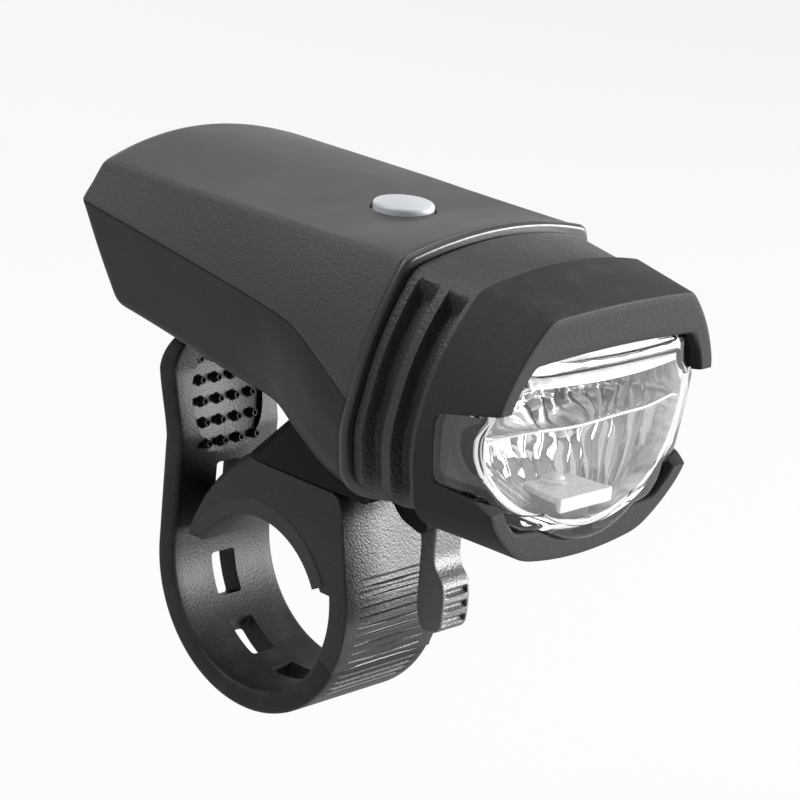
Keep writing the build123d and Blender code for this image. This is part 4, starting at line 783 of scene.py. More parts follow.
@dataclass
class LampForm:
    """The lamp's cross-sections, as in the part's source, and the surfaces laid through them."""

    top_z: float = 58.8
    depth: float = 36.8
    half: float = 22.0
    mid_z: float = 40.0
    rear_y: float = 30.0
    rim_y: float = -26.5
    rim_lean: float = 0.163
    crown: float = 2.3
    bezel_rear: tuple[float, float, float] = (-39.3, 0.132, 1.8)
    bezel_front: tuple[float, float, float] = (-51.3, 0.094, 0.5)
    rear_crease_y: float = 31.6
    rear_crease_z: float = 53.4
    rear_top_lean: float = 0.30
    rear_foot_lean: float = 0.33
    rear_bow: float = 80.0

    def __post_init__(self) -> None:
        """Turns the shares into rows of sizes."""
        self.body = np.array([
            self._row(self.rear_y + place * (self.rim_y - self.rear_y), lean * self.rim_lean,
                      crown * self.crown, shares) for place, lean, crown, *shares in BODY_SHARES])
        self.front = np.array([self.body[-1], self._row(*self.bezel_rear, BEZEL_REAR_SHARES),
                               self._row(*self.bezel_front, BEZEL_FRONT_SHARES)])

    def _row(self, y: float, lean: float, crown: float, shares: Sequence[float]) -> list[float]:
        """One cross-section's sizes, in the order of the tables above."""
        corners = [s * self.half if n % 2 == 0 else self.top_z - s * self.depth
                   for n, s in enumerate(shares[:8])]
        return [y, lean, crown, *corners, self.top_z - shares[8] * self.depth,
                *(s * self.half for s in shares[9:])]

    def sizes(self, y: Array, rows: Array, smooth: bool = True) -> Array:
        """The sizes at any places, one array per column; straight between rows unless smooth."""
        up, places = rows[::-1], rows[::-1, 0]
        if smooth:
            return eased(places, up.T, y)
        span = np.clip(np.searchsorted(places, y) - 1, 0, len(places) - 2)
        t = (y - places[span]) / (places[span + 1] - places[span])
        return up.T[:, span] * (1 - t) + up.T[:, span + 1] * t

    def rear(self, x: Array, z: Array, inset: float = 0.0) -> Array:
        """Y of the rear end's face: bowed in plan, and leaning both ways from its crease."""
        lean = np.where(z > self.rear_crease_z, self.rear_top_lean, -self.rear_foot_lean)
        bow = self.rear_bow - np.sqrt(self.rear_bow ** 2 - x ** 2)
        return self.rear_crease_y - inset - lean * (z - self.rear_crease_z) - bow

    def around(self, run: Sequence[Any], y: Array, rows: Array, inset: Any = 0.0,
               radii: Sequence[float] = CORNER_RADII, smooth: bool = True) -> Array:
        """Points of the right half's outline, from the top's centre line down.

        An edge between corners A and B is A + s (B - A) + 4 b s (1 - s) n, with its bulge b along
        its normal n. A corner is the quadratic curve between points its radius away on both its
        edges.

        Args:
            run: for each row of the result, the stretch it is in and its share of that stretch,
                where stretches 0 to 8 are top, corner, side, corner, flank, corner, lower flank,
                corner, belly.
            y: place of each point, rows by columns, or one row for all.
            rows: the cross-sections.
            inset: how far the outline is drawn in, of y's shape or one number.
            radii: the corners' radii.
            smooth: whether sizes run smoothly between the cross-sections.

        Returns:
            rows by columns by three.
        """
        stretch, share = np.array(run, float).T
        y = np.broadcast_to(y, (len(stretch), np.shape(y)[-1]))
        inset = np.broadcast_to(inset, y.shape)
        f = self.sizes(y, rows, smooth)
        spots = []
        for corner in Corner:
            x_at, z_at, inward, rise = corner.value
            spots.append(np.stack([f[x_at] - inward * inset, f[z_at] + rise * inset]))
        belly = f[BELLY] + inset

        def edge(number: int, s: Array) -> Array:
            """A point of edge number (0 the top, 4 the belly) at share s."""
            if number == 0:
                x = spots[0][0] * s
                return np.stack([x, spots[0][1] + f[CROWN] * (1 - s ** 2)])
            if number == 4:
                x = spots[3][0] * (1 - s)
                return np.stack([x, belly + (spots[3][1] - belly) * (1 - s) ** 2])
            a, b = spots[number - 1], spots[number]
            d = b - a
            out = np.stack([-d[1], d[0]]) / np.linalg.norm(d, axis=0)
            return a + s * d + 4 * f[BELLY + number] * s * (1 - s) * out

        def long(number: int) -> Array:
            """The length of an edge's chord."""
            ends = [edge(number, np.full_like(y, share)) for share in (0.0, 1.0)]
            return np.linalg.norm(ends[1] - ends[0], axis=0)

        cut = [np.minimum(r / long(n), CORNER_SHARE) for n, r in enumerate(radii)]
        cut_after = [np.minimum(r / long(n + 1), CORNER_SHARE) for n, r in enumerate(radii)]
        xz = np.zeros((2, *y.shape))
        t = np.broadcast_to(share[:, None], y.shape)
        for number in range(5):
            first = cut_after[number - 1] if number else np.zeros_like(y)
            last = 1 - cut[number] if number < 4 else np.ones_like(y)
            line = edge(number, first + t * (last - first))
            xz = np.where(stretch[:, None] == 2 * number, line, xz)
        for number in range(4):
            start, end = edge(number, 1 - cut[number]), edge(number + 1, cut_after[number])
            curve = bent(start, spots[number], end, t)
            xz = np.where(stretch[:, None] == 2 * number + 1, curve, xz)
        return np.stack([xz[0], y - f[LEAN] * (xz[1] - self.mid_z), xz[1]], -1)

    @staticmethod
    def run(counts: Sequence[int], first: int = 0) -> list[tuple[float, float]]:
        """Rows for a number of steps in each stretch, from stretch first on."""
        rows = [(first, 0.0)]
        for number, count in enumerate(counts):
            rows += [(first + number, (k + 1) / count) for k in range(count)]
        return rows

    @staticmethod
    def mirrored(right: Array, from_top: bool = True) -> Array:
        """A right half and its mirror image in one grid, joined at the top or at the belly."""
        left = right[::-1] * (-1, 1, 1)
        return np.concatenate([left[:-1], right]) if from_top else np.concatenate([right, left[1:]])

    @staticmethod
    def closed(right: Array) -> Array:
        """A right half and its mirror image as a ring, which Skin.grid's wrap closes."""
        return np.concatenate([right, (right[::-1] * (-1, 1, 1))[1:-1]])

    def ring(self, y: Array, rows: Array, inset: Any = 0.0, radii: Sequence[float] = CORNER_RADII,
             smooth: bool = True) -> Array:
        """The outline the whole way round; see around for what it takes."""
        run = self.run((12, 5, 12, 4, 9, 5, 9, 5, 10))
        return self.closed(self.around(run, y, rows, inset, radii, smooth))


@dataclass
class LampBody:
    """Top cover, lower shell and the bead in front of them."""

    form: LampForm
    wall: float = 1.8
    gap: float = 0.35
    rear_round: float = 1.5
    rear_narrowing: float = 3.0
    bead_width: float = 1.4
    bead_proud: float = 0.3
    bead_sunk: float = 0.25
    bead_radii: tuple[float, ...] = (1.1, 0.8, 3.0, 1.6)
    hole_y: float = -12.9
    hole_profile: tuple[tuple[float, float], ...] = (
        (0.0, 40.0), (4.5, 40.0), (4.5, 59.1), (4.85, 59.55), (5.0, 70.0), (0.0, 70.0))

    def _line_end(self, run: Sequence[Any]) -> Array:
        """Where each lengthwise line meets the rear face, found by repeated substitution."""
        y = np.full((len(run), 1), self.form.rear_y)
        for _ in range(5):
            p = self.form.around(run, y, self.form.body)
            y = self.form.rear(p[..., 0], p[..., 2])
        return y

    def _half(self, run: Sequence[Any], pull: Array, crease_z: float) -> Array:
        """The right half of a shell, from the rim back along the body and in over the rear face.

        Each line follows the body to its rear round, a quadratic curve about the point where it
        meets the rear face, and then runs over that face to the crease.

        Args:
            run: the outline's rows.
            pull: x on the crease that each row's line ends at.
            crease_z: height of that line.

        Returns:
            The grid.
        """
        form = self.form
        end = self._line_end(run)
        corner = form.around(run, end, form.body)[:, 0]
        length = np.hypot(corner[:, 0] - pull, corner[:, 2] - crease_z)[:, None]
        r = np.minimum(self.rear_round, CORNER_SHARE * length)
        along = np.linspace(0, 1, 90) ** 0.9
        tube = form.around(run, form.rim_y + (end - r - form.rim_y) * along[None], form.body)

        def face(s: Array) -> Array:
            """Points of the rear face, s millimetres in from its edge."""
            t = s / length
            x = corner[:, :1] * (1 - t) + pull[:, None] * t
            z = corner[:, 2:] * (1 - t) + crease_z * t
            return np.stack([x, form.rear(x, z), z], -1)

        t = np.linspace(0, 1, 8)[None, 1:-1, None]
        bend = bent(tube[:, -1:], corner[:, None], face(r), t)
        return np.concatenate([tube, bend, face(r + (length - r) * np.linspace(0, 1, 14)[None])], 1)

    def cover(self) -> bpy.types.Object:
        """The top cover down to the crease, with the button's hole."""
        run = self.form.run((16, 6, 14)) + [(3, 0.22), (3, 0.44)]
        x = self.form.around(run, self._line_end(run), self.form.body)[:, 0, 0]
        share = np.clip((x / x[-1] - 0.6) / 0.4, 0, 1) ** 2
        half = self._half(run, x - self.rear_narrowing * share, self.form.rear_crease_z)
        sleek = np.array([1.0 if stretch < 1 else 0.0 for stretch, _ in run])
        sleek = np.concatenate([sleek[::-1][:-1], sleek])
        skin = Skin().grid(self.form.mirrored(half), sleek=sleek[:, None])
        piece = walled(skin.piece("top_cover"), self.wall, 0.16)
        hole = turned(np.array(self.hole_profile), (0.0, self.hole_y, 0.0), 64)
        return carve(piece, Skin().grid(hole).piece("hole"))

    def shell(self) -> bpy.types.Object:
        """The lower shell from the crease round the belly."""
        run = [(3, 0.6), (3, 0.8)] + self.form.run((11, 6, 12, 6, 12), 4)
        p = self.form.around(run, self._line_end(run), self.form.body)[:, 0]
        step = np.linalg.norm(np.diff(p[:, ::2], axis=0), axis=1)
        share = np.concatenate([[0.0], np.cumsum(step)]) / step.sum()
        pull = (p[0, 0] - self.rear_narrowing) * (1 - share)
        half = self._half(run, pull, self.form.rear_crease_z - self.gap)
        skin = Skin().grid(self.form.mirrored(half, from_top=False), sleek=0.75)
        return walled(skin.piece("lower_shell"), self.wall, 0.14)

    def bead(self) -> bpy.types.Object:
        """The rounded bead at the rim: half an ellipse carried round the cross-section."""
        t = np.linspace(0, np.pi, 12)
        y = self.form.rim_y - self.bead_width * (1 - np.cos(t)) / 2
        height = self.bead_sunk + self.bead_proud
        inset = np.concatenate([self.bead_sunk - height * np.sin(t) ** 0.8, [self.wall, self.wall]])
        y = np.concatenate([y, [self.form.rim_y - self.bead_width, self.form.rim_y]])
        rows = np.concatenate([self.form.body, self.form.front[1:]])
        points = self.form.ring(np.append(y, y[0]), rows, np.append(inset, inset[0])[None],
                                self.bead_radii, smooth=False)
        return Skin().grid(points, wrap=True).piece("rim_bead", 40.0)

    def build(self, wardrobe: "Wardrobe") -> None:
        """Makes and dresses the pieces."""
        for piece, node, slot in ((self.cover(), "upper_housing", Slot.top_plastic),
                                  (self.shell(), "lower_housing", Slot.body_plastic),
                                  (self.bead(), "rim_ring", Slot.rim_plastic)):
            wardrobe.fit(piece, slot, "lamp", node)


@dataclass
class LampNeck:
    """The grained neck with two grooves that run round its sides and fade under the top."""

    form: LampForm
    inset: float = 0.9
    wall: float = 3.6
    first: float = 3.6
    pitch: float = 5.0
    width: float = 2.7
    lip: float = 0.35
    depth: float = 2.0
    count: int = 2
    front_slope: float = 0.75
    rear_slope: float = 0.45
    top_drop: float = 0.8
    top_fade: float = 0.8
    belly_z: float = 23.6
    belly_fade: float = 6.0
    belly_least: float = 0.15
    rim_drop: float = 0.35
    rim_width: float = 0.45
    radii: tuple[float, ...] = (1.6, 1.2, 3.0, 2.0)

    def build(self, wardrobe: "Wardrobe") -> None:
        """Makes and dresses the neck.

        A groove's depth is 1 - (1 - s)^2, with s the share of its sloping wall from the lip, so its
        lips are crisp and its floor round. It ends just under the top face and grows shallow at the
        belly.
        """
        form = self.form
        run = form.run((14, 8, 24, 6, 14, 6, 12, 6, 12))
        start, end = form.rim_y - LampBody.bead_width, form.bezel_rear[0]
        y = np.linspace(start, end, 110)
        z = form.around(run, y, form.front, self.inset, self.radii, False)[..., 2]
        top = form.sizes(y, form.front, False)[Corner.TOP.value[1]] - self.inset - self.top_drop
        fade = np.clip((top[None] - z) / self.top_fade, 0, 1)
        fade = fade * fade * (3 - 2 * fade)
        belly = np.clip((z - self.belly_z) / self.belly_fade, self.belly_least, 1.0)
        cut = np.zeros_like(z)
        for number in range(self.count):
            middle = form.rim_y - (self.first + number * self.pitch + self.width / 2)
            off = (y[None] - middle) / (self.width / 2 + self.lip)
            slope = np.where(off > 0, self.rear_slope, self.front_slope)
            s = np.clip((1 - np.abs(off)) / slope, 0, 1)
            cut += self.depth * (1 - (1 - s) ** 2)
        ends = np.minimum(np.abs(y - start), np.abs(y - end))
        rim = self.rim_drop * np.clip(1 - ends / self.rim_width, 0, 1)[None] ** 2
        inset = self.inset + cut * fade * belly + rim
        inner = np.full((len(run), 2), self.inset + self.wall)
        points = form.around(run, np.concatenate([y, [end, start, start]]), form.front,
                             np.concatenate([inset, inner, inset[:, :1]], 1), self.radii, False)
        piece = Skin().grid(form.closed(points), wrap=True).piece("ribbed_neck", 50.0)
        wardrobe.fit(piece, Slot.neck_plastic, "lamp", "neck_housing")


@dataclass
class LampFront:
    """Bezel and clear lens."""

    form: LampForm
    wall: float = 1.9
    face: float = 1.7
    frame_least: float = 2.0
    middle: float = 37.6
    lens_top: tuple[float, float, float] = (15.4, 50.0, 0.5)
    lens_corners: tuple[tuple[float, float], ...] = (
        (19.2, 44.4), (19.2, 30.5), (13.4, 26.8), (9.0, 26.6))
    lens_radii: tuple[float, ...] = (0.0, 1.6, 2.0, 1.4, 1.2, 0.8, 0.0)
    lens_bottom: float = 23.9
    lens_front: float = -53.0
    lens_bow: float = 54.6
    lens_wall: float = 1.8
    lens_rear: float = -41.6
    lens_gap: float = 0.15
    window: tuple[tuple[float, float], ...] = (
        (-41.9, 42.3), (-60.0, 46.05), (-60.0, 30.5), (-50.7, 30.5), (-48.4, 31.8), (-41.9, 32.8))
    window_radii: tuple[float, ...] = (1.3, 0.1, 0.1, 0.6, 0.6, 1.0)
    window_z: tuple[float, float] = (31.2, 43.6)

    def outline(self, margin: float = 0.0) -> tuple[Array, Array]:
        """The lens's front outline as polar angles and radii about its middle.

        Its top is a parabola, its sides are rounded corners, and its foot is a parabola again.

        Args:
            margin: how far it is drawn in.

        Returns:
            Angles from the right, and radii.
        """
        m = margin
        top_half, top_z, crown = self.lens_top
        side, shoulder, foot, ankle = self.lens_corners
        half, low = top_half - 0.7 * m, ankle[0] - 0.2 * m
        x = np.linspace(0, half, 12)[:-1]
        top = np.stack([x, top_z - m + crown * (1 - (x / half) ** 2)], -1)
        corners = [(half, top_z - m), (side[0] - m, side[1] - 0.3 * m),
                   (side[0] - m, shoulder[1] + 0.3 * m), (foot[0] - 0.7 * m, foot[1] + m),
                   (low, ankle[1] + m)]
        x = np.linspace(low, 0, 16)[1:]
        bottom = self.lens_bottom + m + (ankle[1] - self.lens_bottom) * (x / low) ** 2
        belly = np.stack([x, bottom], -1)
        line = rounded(np.concatenate([top[-1:], corners, belly[:1]]), self.lens_radii, 6)
        right = np.concatenate([top, line[1:-1], belly])
        ring = np.concatenate([right, right[::-1][1:-1] * (-1, 1)]) - (0, self.middle)
        angle = np.arctan2(ring[:, 1], ring[:, 0])
        order = np.argsort(angle)
        return angle[order], np.hypot(ring[order, 0], ring[order, 1])

    def on_outline(self, angle: Array, margin: float = 0.0) -> Array:
        """(x, z) of the outline's points at the given angles."""
        a, r = self.outline(margin)
        radius = np.interp(angle, np.concatenate([a - 2 * np.pi, a, a + 2 * np.pi]), np.tile(r, 3))
        return np.stack([radius * np.cos(angle), self.middle + radius * np.sin(angle)], -1)

    def bow(self, x: Array, z: Array, setback: float = 0.0) -> Array:
        """Y of the lens's front face, or of a face set back from it: a leaning drum."""
        lean = self.form.bezel_front[LEAN]
        return (self.lens_front + self.lens_bow - np.sqrt((self.lens_bow - setback) ** 2 - x ** 2)
                - lean * (z - self.form.mid_z))

    def bezel(self) -> bpy.types.Object:
        """The bezel: one closed band round the cross-section, with both side windows cut out.

        Each row goes forwards on the outside, over the front edge, in over the face to the lens's
        outline, back along the opening and back on the inside.
        """
        form, rows = self.form, self.form.front
        run, radii = form.run((16, 5, 22, 5, 14, 5, 14, 5, 14)), (1.0, 1.6, 2.4, 1.6)
        rear, front = form.bezel_rear[0], form.bezel_front[0]
        y = np.concatenate([[rear, rear], np.linspace(rear - 0.25, front + 0.35, 40),
                            [front + 0.08, front]])
        inset = np.concatenate([[self.wall, 0.3], np.zeros(40), [0.08, 0.35]])
        outer = form.around(run, y, rows, inset[None], radii, False)
        edge = outer[:, -1]
        angle = np.arctan2(edge[:, 2] - self.middle, edge[:, 0])
        centre = np.array([0.0, self.middle])
        reach = np.hypot(edge[:, 0], edge[:, 2] - self.middle)[:, None]

        def opening(margin: float, frame: float) -> Array:
            """The lens's outline, kept at least a frame's width inside the bezel's edge."""
            off = self.on_outline(angle, margin) - centre
            far = np.linalg.norm(off, axis=1, keepdims=True)
            return centre + off * np.minimum(far, reach - frame) / far

        chamfer = 0.25
        lip, cut = opening(-chamfer, self.frame_least - chamfer), opening(0.0, self.frame_least)
        lean = form.bezel_front[LEAN]

        def plane(xz: Array, back: float) -> Array:
            """Points a distance behind the bezel's leaning face."""
            return np.stack([xz[:, 0], front + back - lean * (xz[:, 1] - form.mid_z), xz[:, 1]], -1)

        face = [edge * (1 - s) + plane(lip, 0.0) * s for s in np.linspace(0, 1, 6)[1:]]
        inner_y = np.linspace(front + self.face, rear, 8)
        inner = form.around(run, inner_y, rows, np.linspace(1.3, self.wall, 8)[None], radii, False)
        deep = [plane(cut, chamfer), plane(cut, self.face)]
        right = np.concatenate([outer, np.stack(face + deep, 1), inner, outer[:, :1]], 1)
        sleek = np.where(np.arange(right.shape[1]) < outer.shape[1] - 2, 0.6, 0.0)
        piece = Skin().grid(form.closed(right), wrap=True, sleek=sleek[None]).piece("bezel")
        ring = rounded(self.window, self.window_radii, 5, closed=True)
        carve(piece, prism(ring, -40.0, 40.0, "windows"))
        return bevelled(piece, 0.18, 40.0)

    def lens(self) -> bpy.types.Object:
        """The clear cup: bowed front, rounded edge and side walls, with a wall's thickness inside.

        The middle part follows the outline; where the windows are, its side walls move out to the
        bezel's own surface.
        """
        form, rows = self.form, self.form.front
        angle = np.linspace(-np.pi, np.pi, 241)[:-1]
        low, high = self.window_z

        def wall_line(margin: float, y: Array) -> Array:
            """The cup's side wall at places y, from front to rear."""
            xz = self.on_outline(angle, margin)
            window = np.clip((np.minimum(high - xz[:, 1], xz[:, 1] - low) + 0.6) / 0.8, 0, 1)
            window *= np.clip((np.abs(xz[:, 0]) - 14.0) / 2.0, 0, 1)
            run = form.run((1, 1, 40, 1, 40, 1, 1, 1, 1))
            points = form.around(run, y, rows, margin, smooth=False)
            wide = np.stack([np.interp(xz[:, 1], p[::-1, 2], p[::-1, 0])
                             for p in points.transpose(1, 0, 2)], 1)
            x = xz[:, :1] * np.ones_like(y)
            side = np.sign(x) * np.where(wide > np.abs(x), wide, np.abs(x))
            blend = window[:, None] * np.ones_like(y)
            return np.stack([x * (1 - blend) + side * blend, np.broadcast_to(y, x.shape),
                             np.broadcast_to(xz[:, 1:], x.shape)], -1)

        def cup(margin: float, setback: float, round_off: float) -> Array:
            """One skin of the cup: from its face's middle to the edge, and back along its wall."""
            side = wall_line(margin, np.linspace(self.lens_rear - 9.0, self.lens_rear, 12))
            edge = side[:, 0].copy()
            edge[:, 1] = self.bow(edge[:, 0], edge[:, 2], setback)
            s = np.linspace(0, 1, 26)[:-1]
            centre = np.array([0.0, 0.0, self.middle])
            flat = centre + (edge - centre)[:, None] * (s * (1 - round_off / 18.0))[None, :, None]
            flat[..., 1] = self.bow(flat[..., 0], flat[..., 2], setback)
            end = edge + (0, round_off, 0)
            t = np.linspace(0, 1, 7)[None, 1:, None]
            bend = bent(flat[:, -1:], edge[:, None], end[:, None], t)
            begin = end[:, 1:2]
            side[..., 1] = np.linspace(0, 1, 12)[None] * (self.lens_rear - begin) + begin
            return np.concatenate([flat, bend, side[:, 1:]], 1)

        outside = cup(self.lens_gap, 0.0, 1.5)
        inside = cup(self.lens_gap + self.lens_wall, self.lens_wall, 1.0)
        points = np.concatenate([outside, inside[:, ::-1]], 1)
        return Skin().grid(points, wrap=True).piece("clear_lens", 40.0)

    def build(self, wardrobe: "Wardrobe") -> None:
        """Makes and dresses the pieces."""
        wardrobe.fit(self.bezel(), Slot.bezel_plastic, "lamp", "front_bezel")
        wardrobe.fit(self.lens(), Slot.clear_lens, "lamp", "front_lens")


@dataclass
class Reflector:
    """The fluted bowls behind the lens, their lip, the satin band over them and the web between."""

    front: LampFront
    half: float = 18.6
    drop: float = 13.2
    roof_z: float = 46.6
    band_z: float = 49.7
    split_z: float = 39.8
    flutes: int = 19
    low_depth: float = 11.6
    high_depth: float = 12.6
    plan: float = 0.8
    sway: float = 0.035
    dent: float = 0.12
    web_depth: float = 11.4
    step: float = 0.35
    lip_proud: float = 0.9
    lip_radii: tuple[float, float] = (0.5, 0.4)
    lip_out: float = 0.45
    roof_narrowing: float = 0.25
    roof_shallowing: float = 0.62
    band_lean: float = 1.1
    foil: float = 0.35

    def behind(self, x: Array, z: Array, gap: float = 0.5) -> Array:
        """Y at a gap behind the lens's inside."""
        return self.front.bow(x, z) + self.front.lens_wall + gap

    def narrowing(self, u: Array) -> Array:
        """The upper bowl's half width at a share u of its height, as a share of its widest."""
        return 1 - self.roof_narrowing * u ** 1.8

    def bowls(self, flutes: float, grow: float, name: str) -> bpy.types.Object:
        """The fluted bowls, a lower and an upper one with a small step between, and a wall above.

        At height z a bowl's plan is x = a sin(p), y = rim + d cos(p)^0.8. In the lower bowl a and d
        fall off as the quarter of an ellipse; in the upper one they fall off with a power of the
        height. Flutes stand on it, each over one span of p, as 1 - t^2 across that span. So that no
        two flutes are alike, p sways with sin(1.1 z + 9 p), the depth is dented by
        sin(1.9 z + 6 p), and the flutes' height varies from one to the next. A lip stands forward
        at the split, as exp(-((z - split) / 0.4)^2). From the top a roof runs forwards, and a low
        wall rises from its front edge behind the band.

        Args:
            flutes: height of the flutes.
            grow: how far the bowls are made larger all round.
            name: the piece's name.

        Returns:
            The piece, with its thickness.
        """
        p = np.linspace(-np.pi / 2, np.pi / 2, 12 * self.flutes + 1)
        place = (p / np.pi + 0.5) * self.flutes
        t = np.mod(place, 1.0) * 2 - 1
        size = flutes * (1 + 0.5 * np.sin(2.4 * np.floor(place))) * (1 + 1.5 * np.clip(p, 0, 1))
        flute = size * (1 - t ** 2) * np.cos(p) ** 0.15
        middle, half, drop = self.split_z + 0.2, self.half + grow, self.drop + grow
        p = p[:, None]

        def bowl(z: Array, depth: float, wide: Array, deep: Array) -> Array:
            """The fluted wall over heights z; wide and deep scale its half width and depth."""
            z = z[None]
            x = half * wide[None] * np.sin(p + self.sway * np.sin(1.1 * z + 9 * p) * np.cos(p))
            dent = flute[:, None] + self.dent * np.sin(1.9 * z + 6 * p)
            back = (depth + grow - dent) * deep[None] * np.cos(p) ** self.plan
            lip = self.lip_proud * np.exp(-(((z - middle + 0.25) / 0.4) ** 2)) * np.cos(p) ** 0.5
            return np.stack([x, self.behind(x, z) + back - lip, z + 0 * x], -1)

        s = np.concatenate([[0, 0.007, 0.014, 0.022, 0.031], np.linspace(0.045, 1, 40)])
        low_z = middle - self.step - (drop - self.step) * np.sin(s * np.pi / 2)
        shrink = np.sqrt(np.clip(1 - ((middle - low_z) / drop) ** 2, 0.0009, 1))
        low = bowl(low_z, self.low_depth, shrink, shrink ** 0.8)
        high_z = np.linspace(middle + 0.15, self.roof_z + 0.4 * grow, 22)
        u = (high_z - high_z[0]) / (high_z[-1] - high_z[0])
        high = bowl(high_z, self.high_depth, self.narrowing(u), 1 - self.roof_shallowing * u ** 1.5)
        edge = high[:, -1:]
        ahead = edge.copy()
        ahead[..., 1] = self.behind(edge[..., 0], edge[..., 2], 1.0)
        share = np.array([0.3, 0.65, 0.94, 1.0])[None, :, None]
        roof = edge * (1 - share) + ahead * share
        rise = np.linspace(0.1, 1, 9)[None]
        x = edge[..., 0] * (1 + 0.03 * rise)
        z = edge[..., 2] + (self.band_z + 0.3 * grow - edge[..., 2]) * rise
        wave = (0.035 * np.sin(9 * p) + 0.02 * np.sin(23 * p)) * np.sin(np.pi * rise)
        y = self.behind(x, z) + self.band_lean * rise ** 1.3 + 0.3 + wave
        points = np.concatenate([low[:, ::-1], high, roof, np.stack([x, y, z], -1)], 1)
        return foiled(Skin().grid(points).piece(name, 28.0), self.foil)

    def lip(self) -> bpy.types.Object:
        """The rolled lip round the bowls' mouth: a small oval carried along their front edge.

        The path is x = a sin(p), z = m - b cos(p) below the split, and runs up to the roof's ends
        above it.
        """
        p = np.linspace(-np.pi / 2, np.pi / 2, 97)
        half, drop, middle = self.half + self.lip_out, self.drop + self.lip_out, self.split_z + 0.2
        below = np.stack([half * np.sin(p), middle - drop * np.cos(p)], -1)
        u = np.linspace(0, 1, 12)[1:]
        side = np.stack([half * self.narrowing(u), middle + (self.roof_z - middle) * u], -1)
        path = np.concatenate([side[::-1] * (-1, 1), below, side])
        along = np.gradient(path, axis=0)
        along = along / np.linalg.norm(along, axis=1, keepdims=True)
        out = np.stack([along[:, 1], -along[:, 0]], -1)
        a = np.linspace(0, 2 * np.pi, 13)[:-1]
        wide, deep = self.lip_radii
        xz = path[:, None] + out[:, None] * (wide * np.cos(a))[None, :, None]
        y = self.behind(path[:, :1], path[:, 1:], 0.75) + deep * np.sin(a)[None]
        points = np.stack([xz[..., 0], y, xz[..., 1]], -1).transpose(1, 0, 2)
        return Skin().grid(points, wrap=True, ends=True).piece("mirror_lip", 50.0)

    def band(self) -> bpy.types.Object:
        """The satin band over the bowls: a strip that leans back by a power of its height."""
        p, rise = np.linspace(-np.pi / 2, np.pi / 2, 121)[:, None], np.linspace(0, 1, 12)[None]
        x = 0.75 * self.half * np.sin(p) * (1 + 0.03 * rise)
        z = self.roof_z - 0.1 + (self.band_z + 0.1 - self.roof_z) * rise + 0 * x
        wave = (0.05 * np.sin(9 * p) + 0.03 * np.sin(23 * p)) * np.sin(np.pi * rise)
        y = self.behind(x, z, 0.4) + self.band_lean * rise ** 1.3 + wave
        return foiled(Skin().grid(np.stack([x, y, z], -1)).piece("mirror_band", 28.0), 0.3)

    def web(self) -> bpy.types.Object:
        """The web between the bowls: a thin shelf with a round front edge, on the bowls' plan."""
        p = np.linspace(-np.pi / 2, np.pi / 2, 121)[:, None]
        a = np.linspace(-np.pi / 2, np.pi / 2, 7)
        lift = np.concatenate([[-0.3], 0.3 * np.sin(a), [0.3]])[None]
        share = np.concatenate([[1.0], 0.14 - 0.02 * np.cos(a), [1.0]])[None]
        x = (self.half - 0.1) * np.sin(p) + 0 * lift
        z = self.split_z + 0.15 + 0.12 * np.sin(7 * p) + lift
        y = self.behind(x, z) + self.web_depth * share * np.cos(p) ** self.plan
        points = np.stack([x, y, z], -1).transpose(1, 0, 2)
        return Skin().grid(points, wrap=True, ends=True).piece("mirror_web", 50.0)

    def build(self, wardrobe: "Wardrobe") -> None:
        """Makes and dresses the pieces, with a dark bed behind the bright bowls."""
        bowls = self.bowls(0.42, 0.0, "fluted_reflector")
        wardrobe.fit(bowls, Slot.reflector_chrome, "lamp", "reflector")
        wardrobe.fit(self.lip(), Slot.reflector_chrome, "lamp")
        wardrobe.fit(self.band(), Slot.band_satin, "lamp")
        wardrobe.fit(self.web(), Slot.reflector_chrome, "lamp")
        wardrobe.fit(self.bowls(0.3, 0.75, "mirror_bed"), Slot.seal_rubber, "lamp")


@dataclass
class LightShelf:
    """The light shelf: a tapering slab with a tall front lip, and the light's low dome on it."""

    front: float = -49.0
    rear: float = -37.0
    top: float = 30.1
    front_half: float = 5.0
    rear_half: float = 3.6
    lip: float = 2.0
    dome_y: float = -43.6
    dome: tuple[float, float] = (1.3, 0.7)

    def build(self, wardrobe: "Wardrobe") -> None:
        """Makes the slab, a rounded bar whose half width changes evenly along it, and the dome."""
        front, rear, top = self.front, self.rear, self.top
        line = rounded([(rear, top - 1.0), (rear, top), (front, top), (front, top - self.lip),
                        (front + 0.8, top - self.lip), (front + 1.0, top - 1.0)],
                       [0.1, 0.1, 0.25, 0.25, 0.2, 0.2], 3, closed=True)
        skin = loaf(Skin(), line, -normals(line) * 0.12, 1.0)
        slab = skin.points[0]
        share = (slab[:, 1] - front) / (rear - front)
        slab[:, 0] *= self.front_half - (self.front_half - self.rear_half) * share
        a = np.linspace(0, np.pi / 2, 8)
        radius, height = self.dome
        dome = np.concatenate([[(0.0, top - 0.2), (1.7, top - 0.2), (1.7, top + 0.3)],
                               np.stack([radius * np.cos(a), top + 0.4 + height * np.sin(a)], -1)])
        skin.grid(turned(dome, (0.0, self.dome_y, 0.0), 32))
        piece = skin.piece("light_shelf", 40.0)
        wardrobe.fit(piece, Slot.light_board, "lamp", "led_board", "led_emitter")


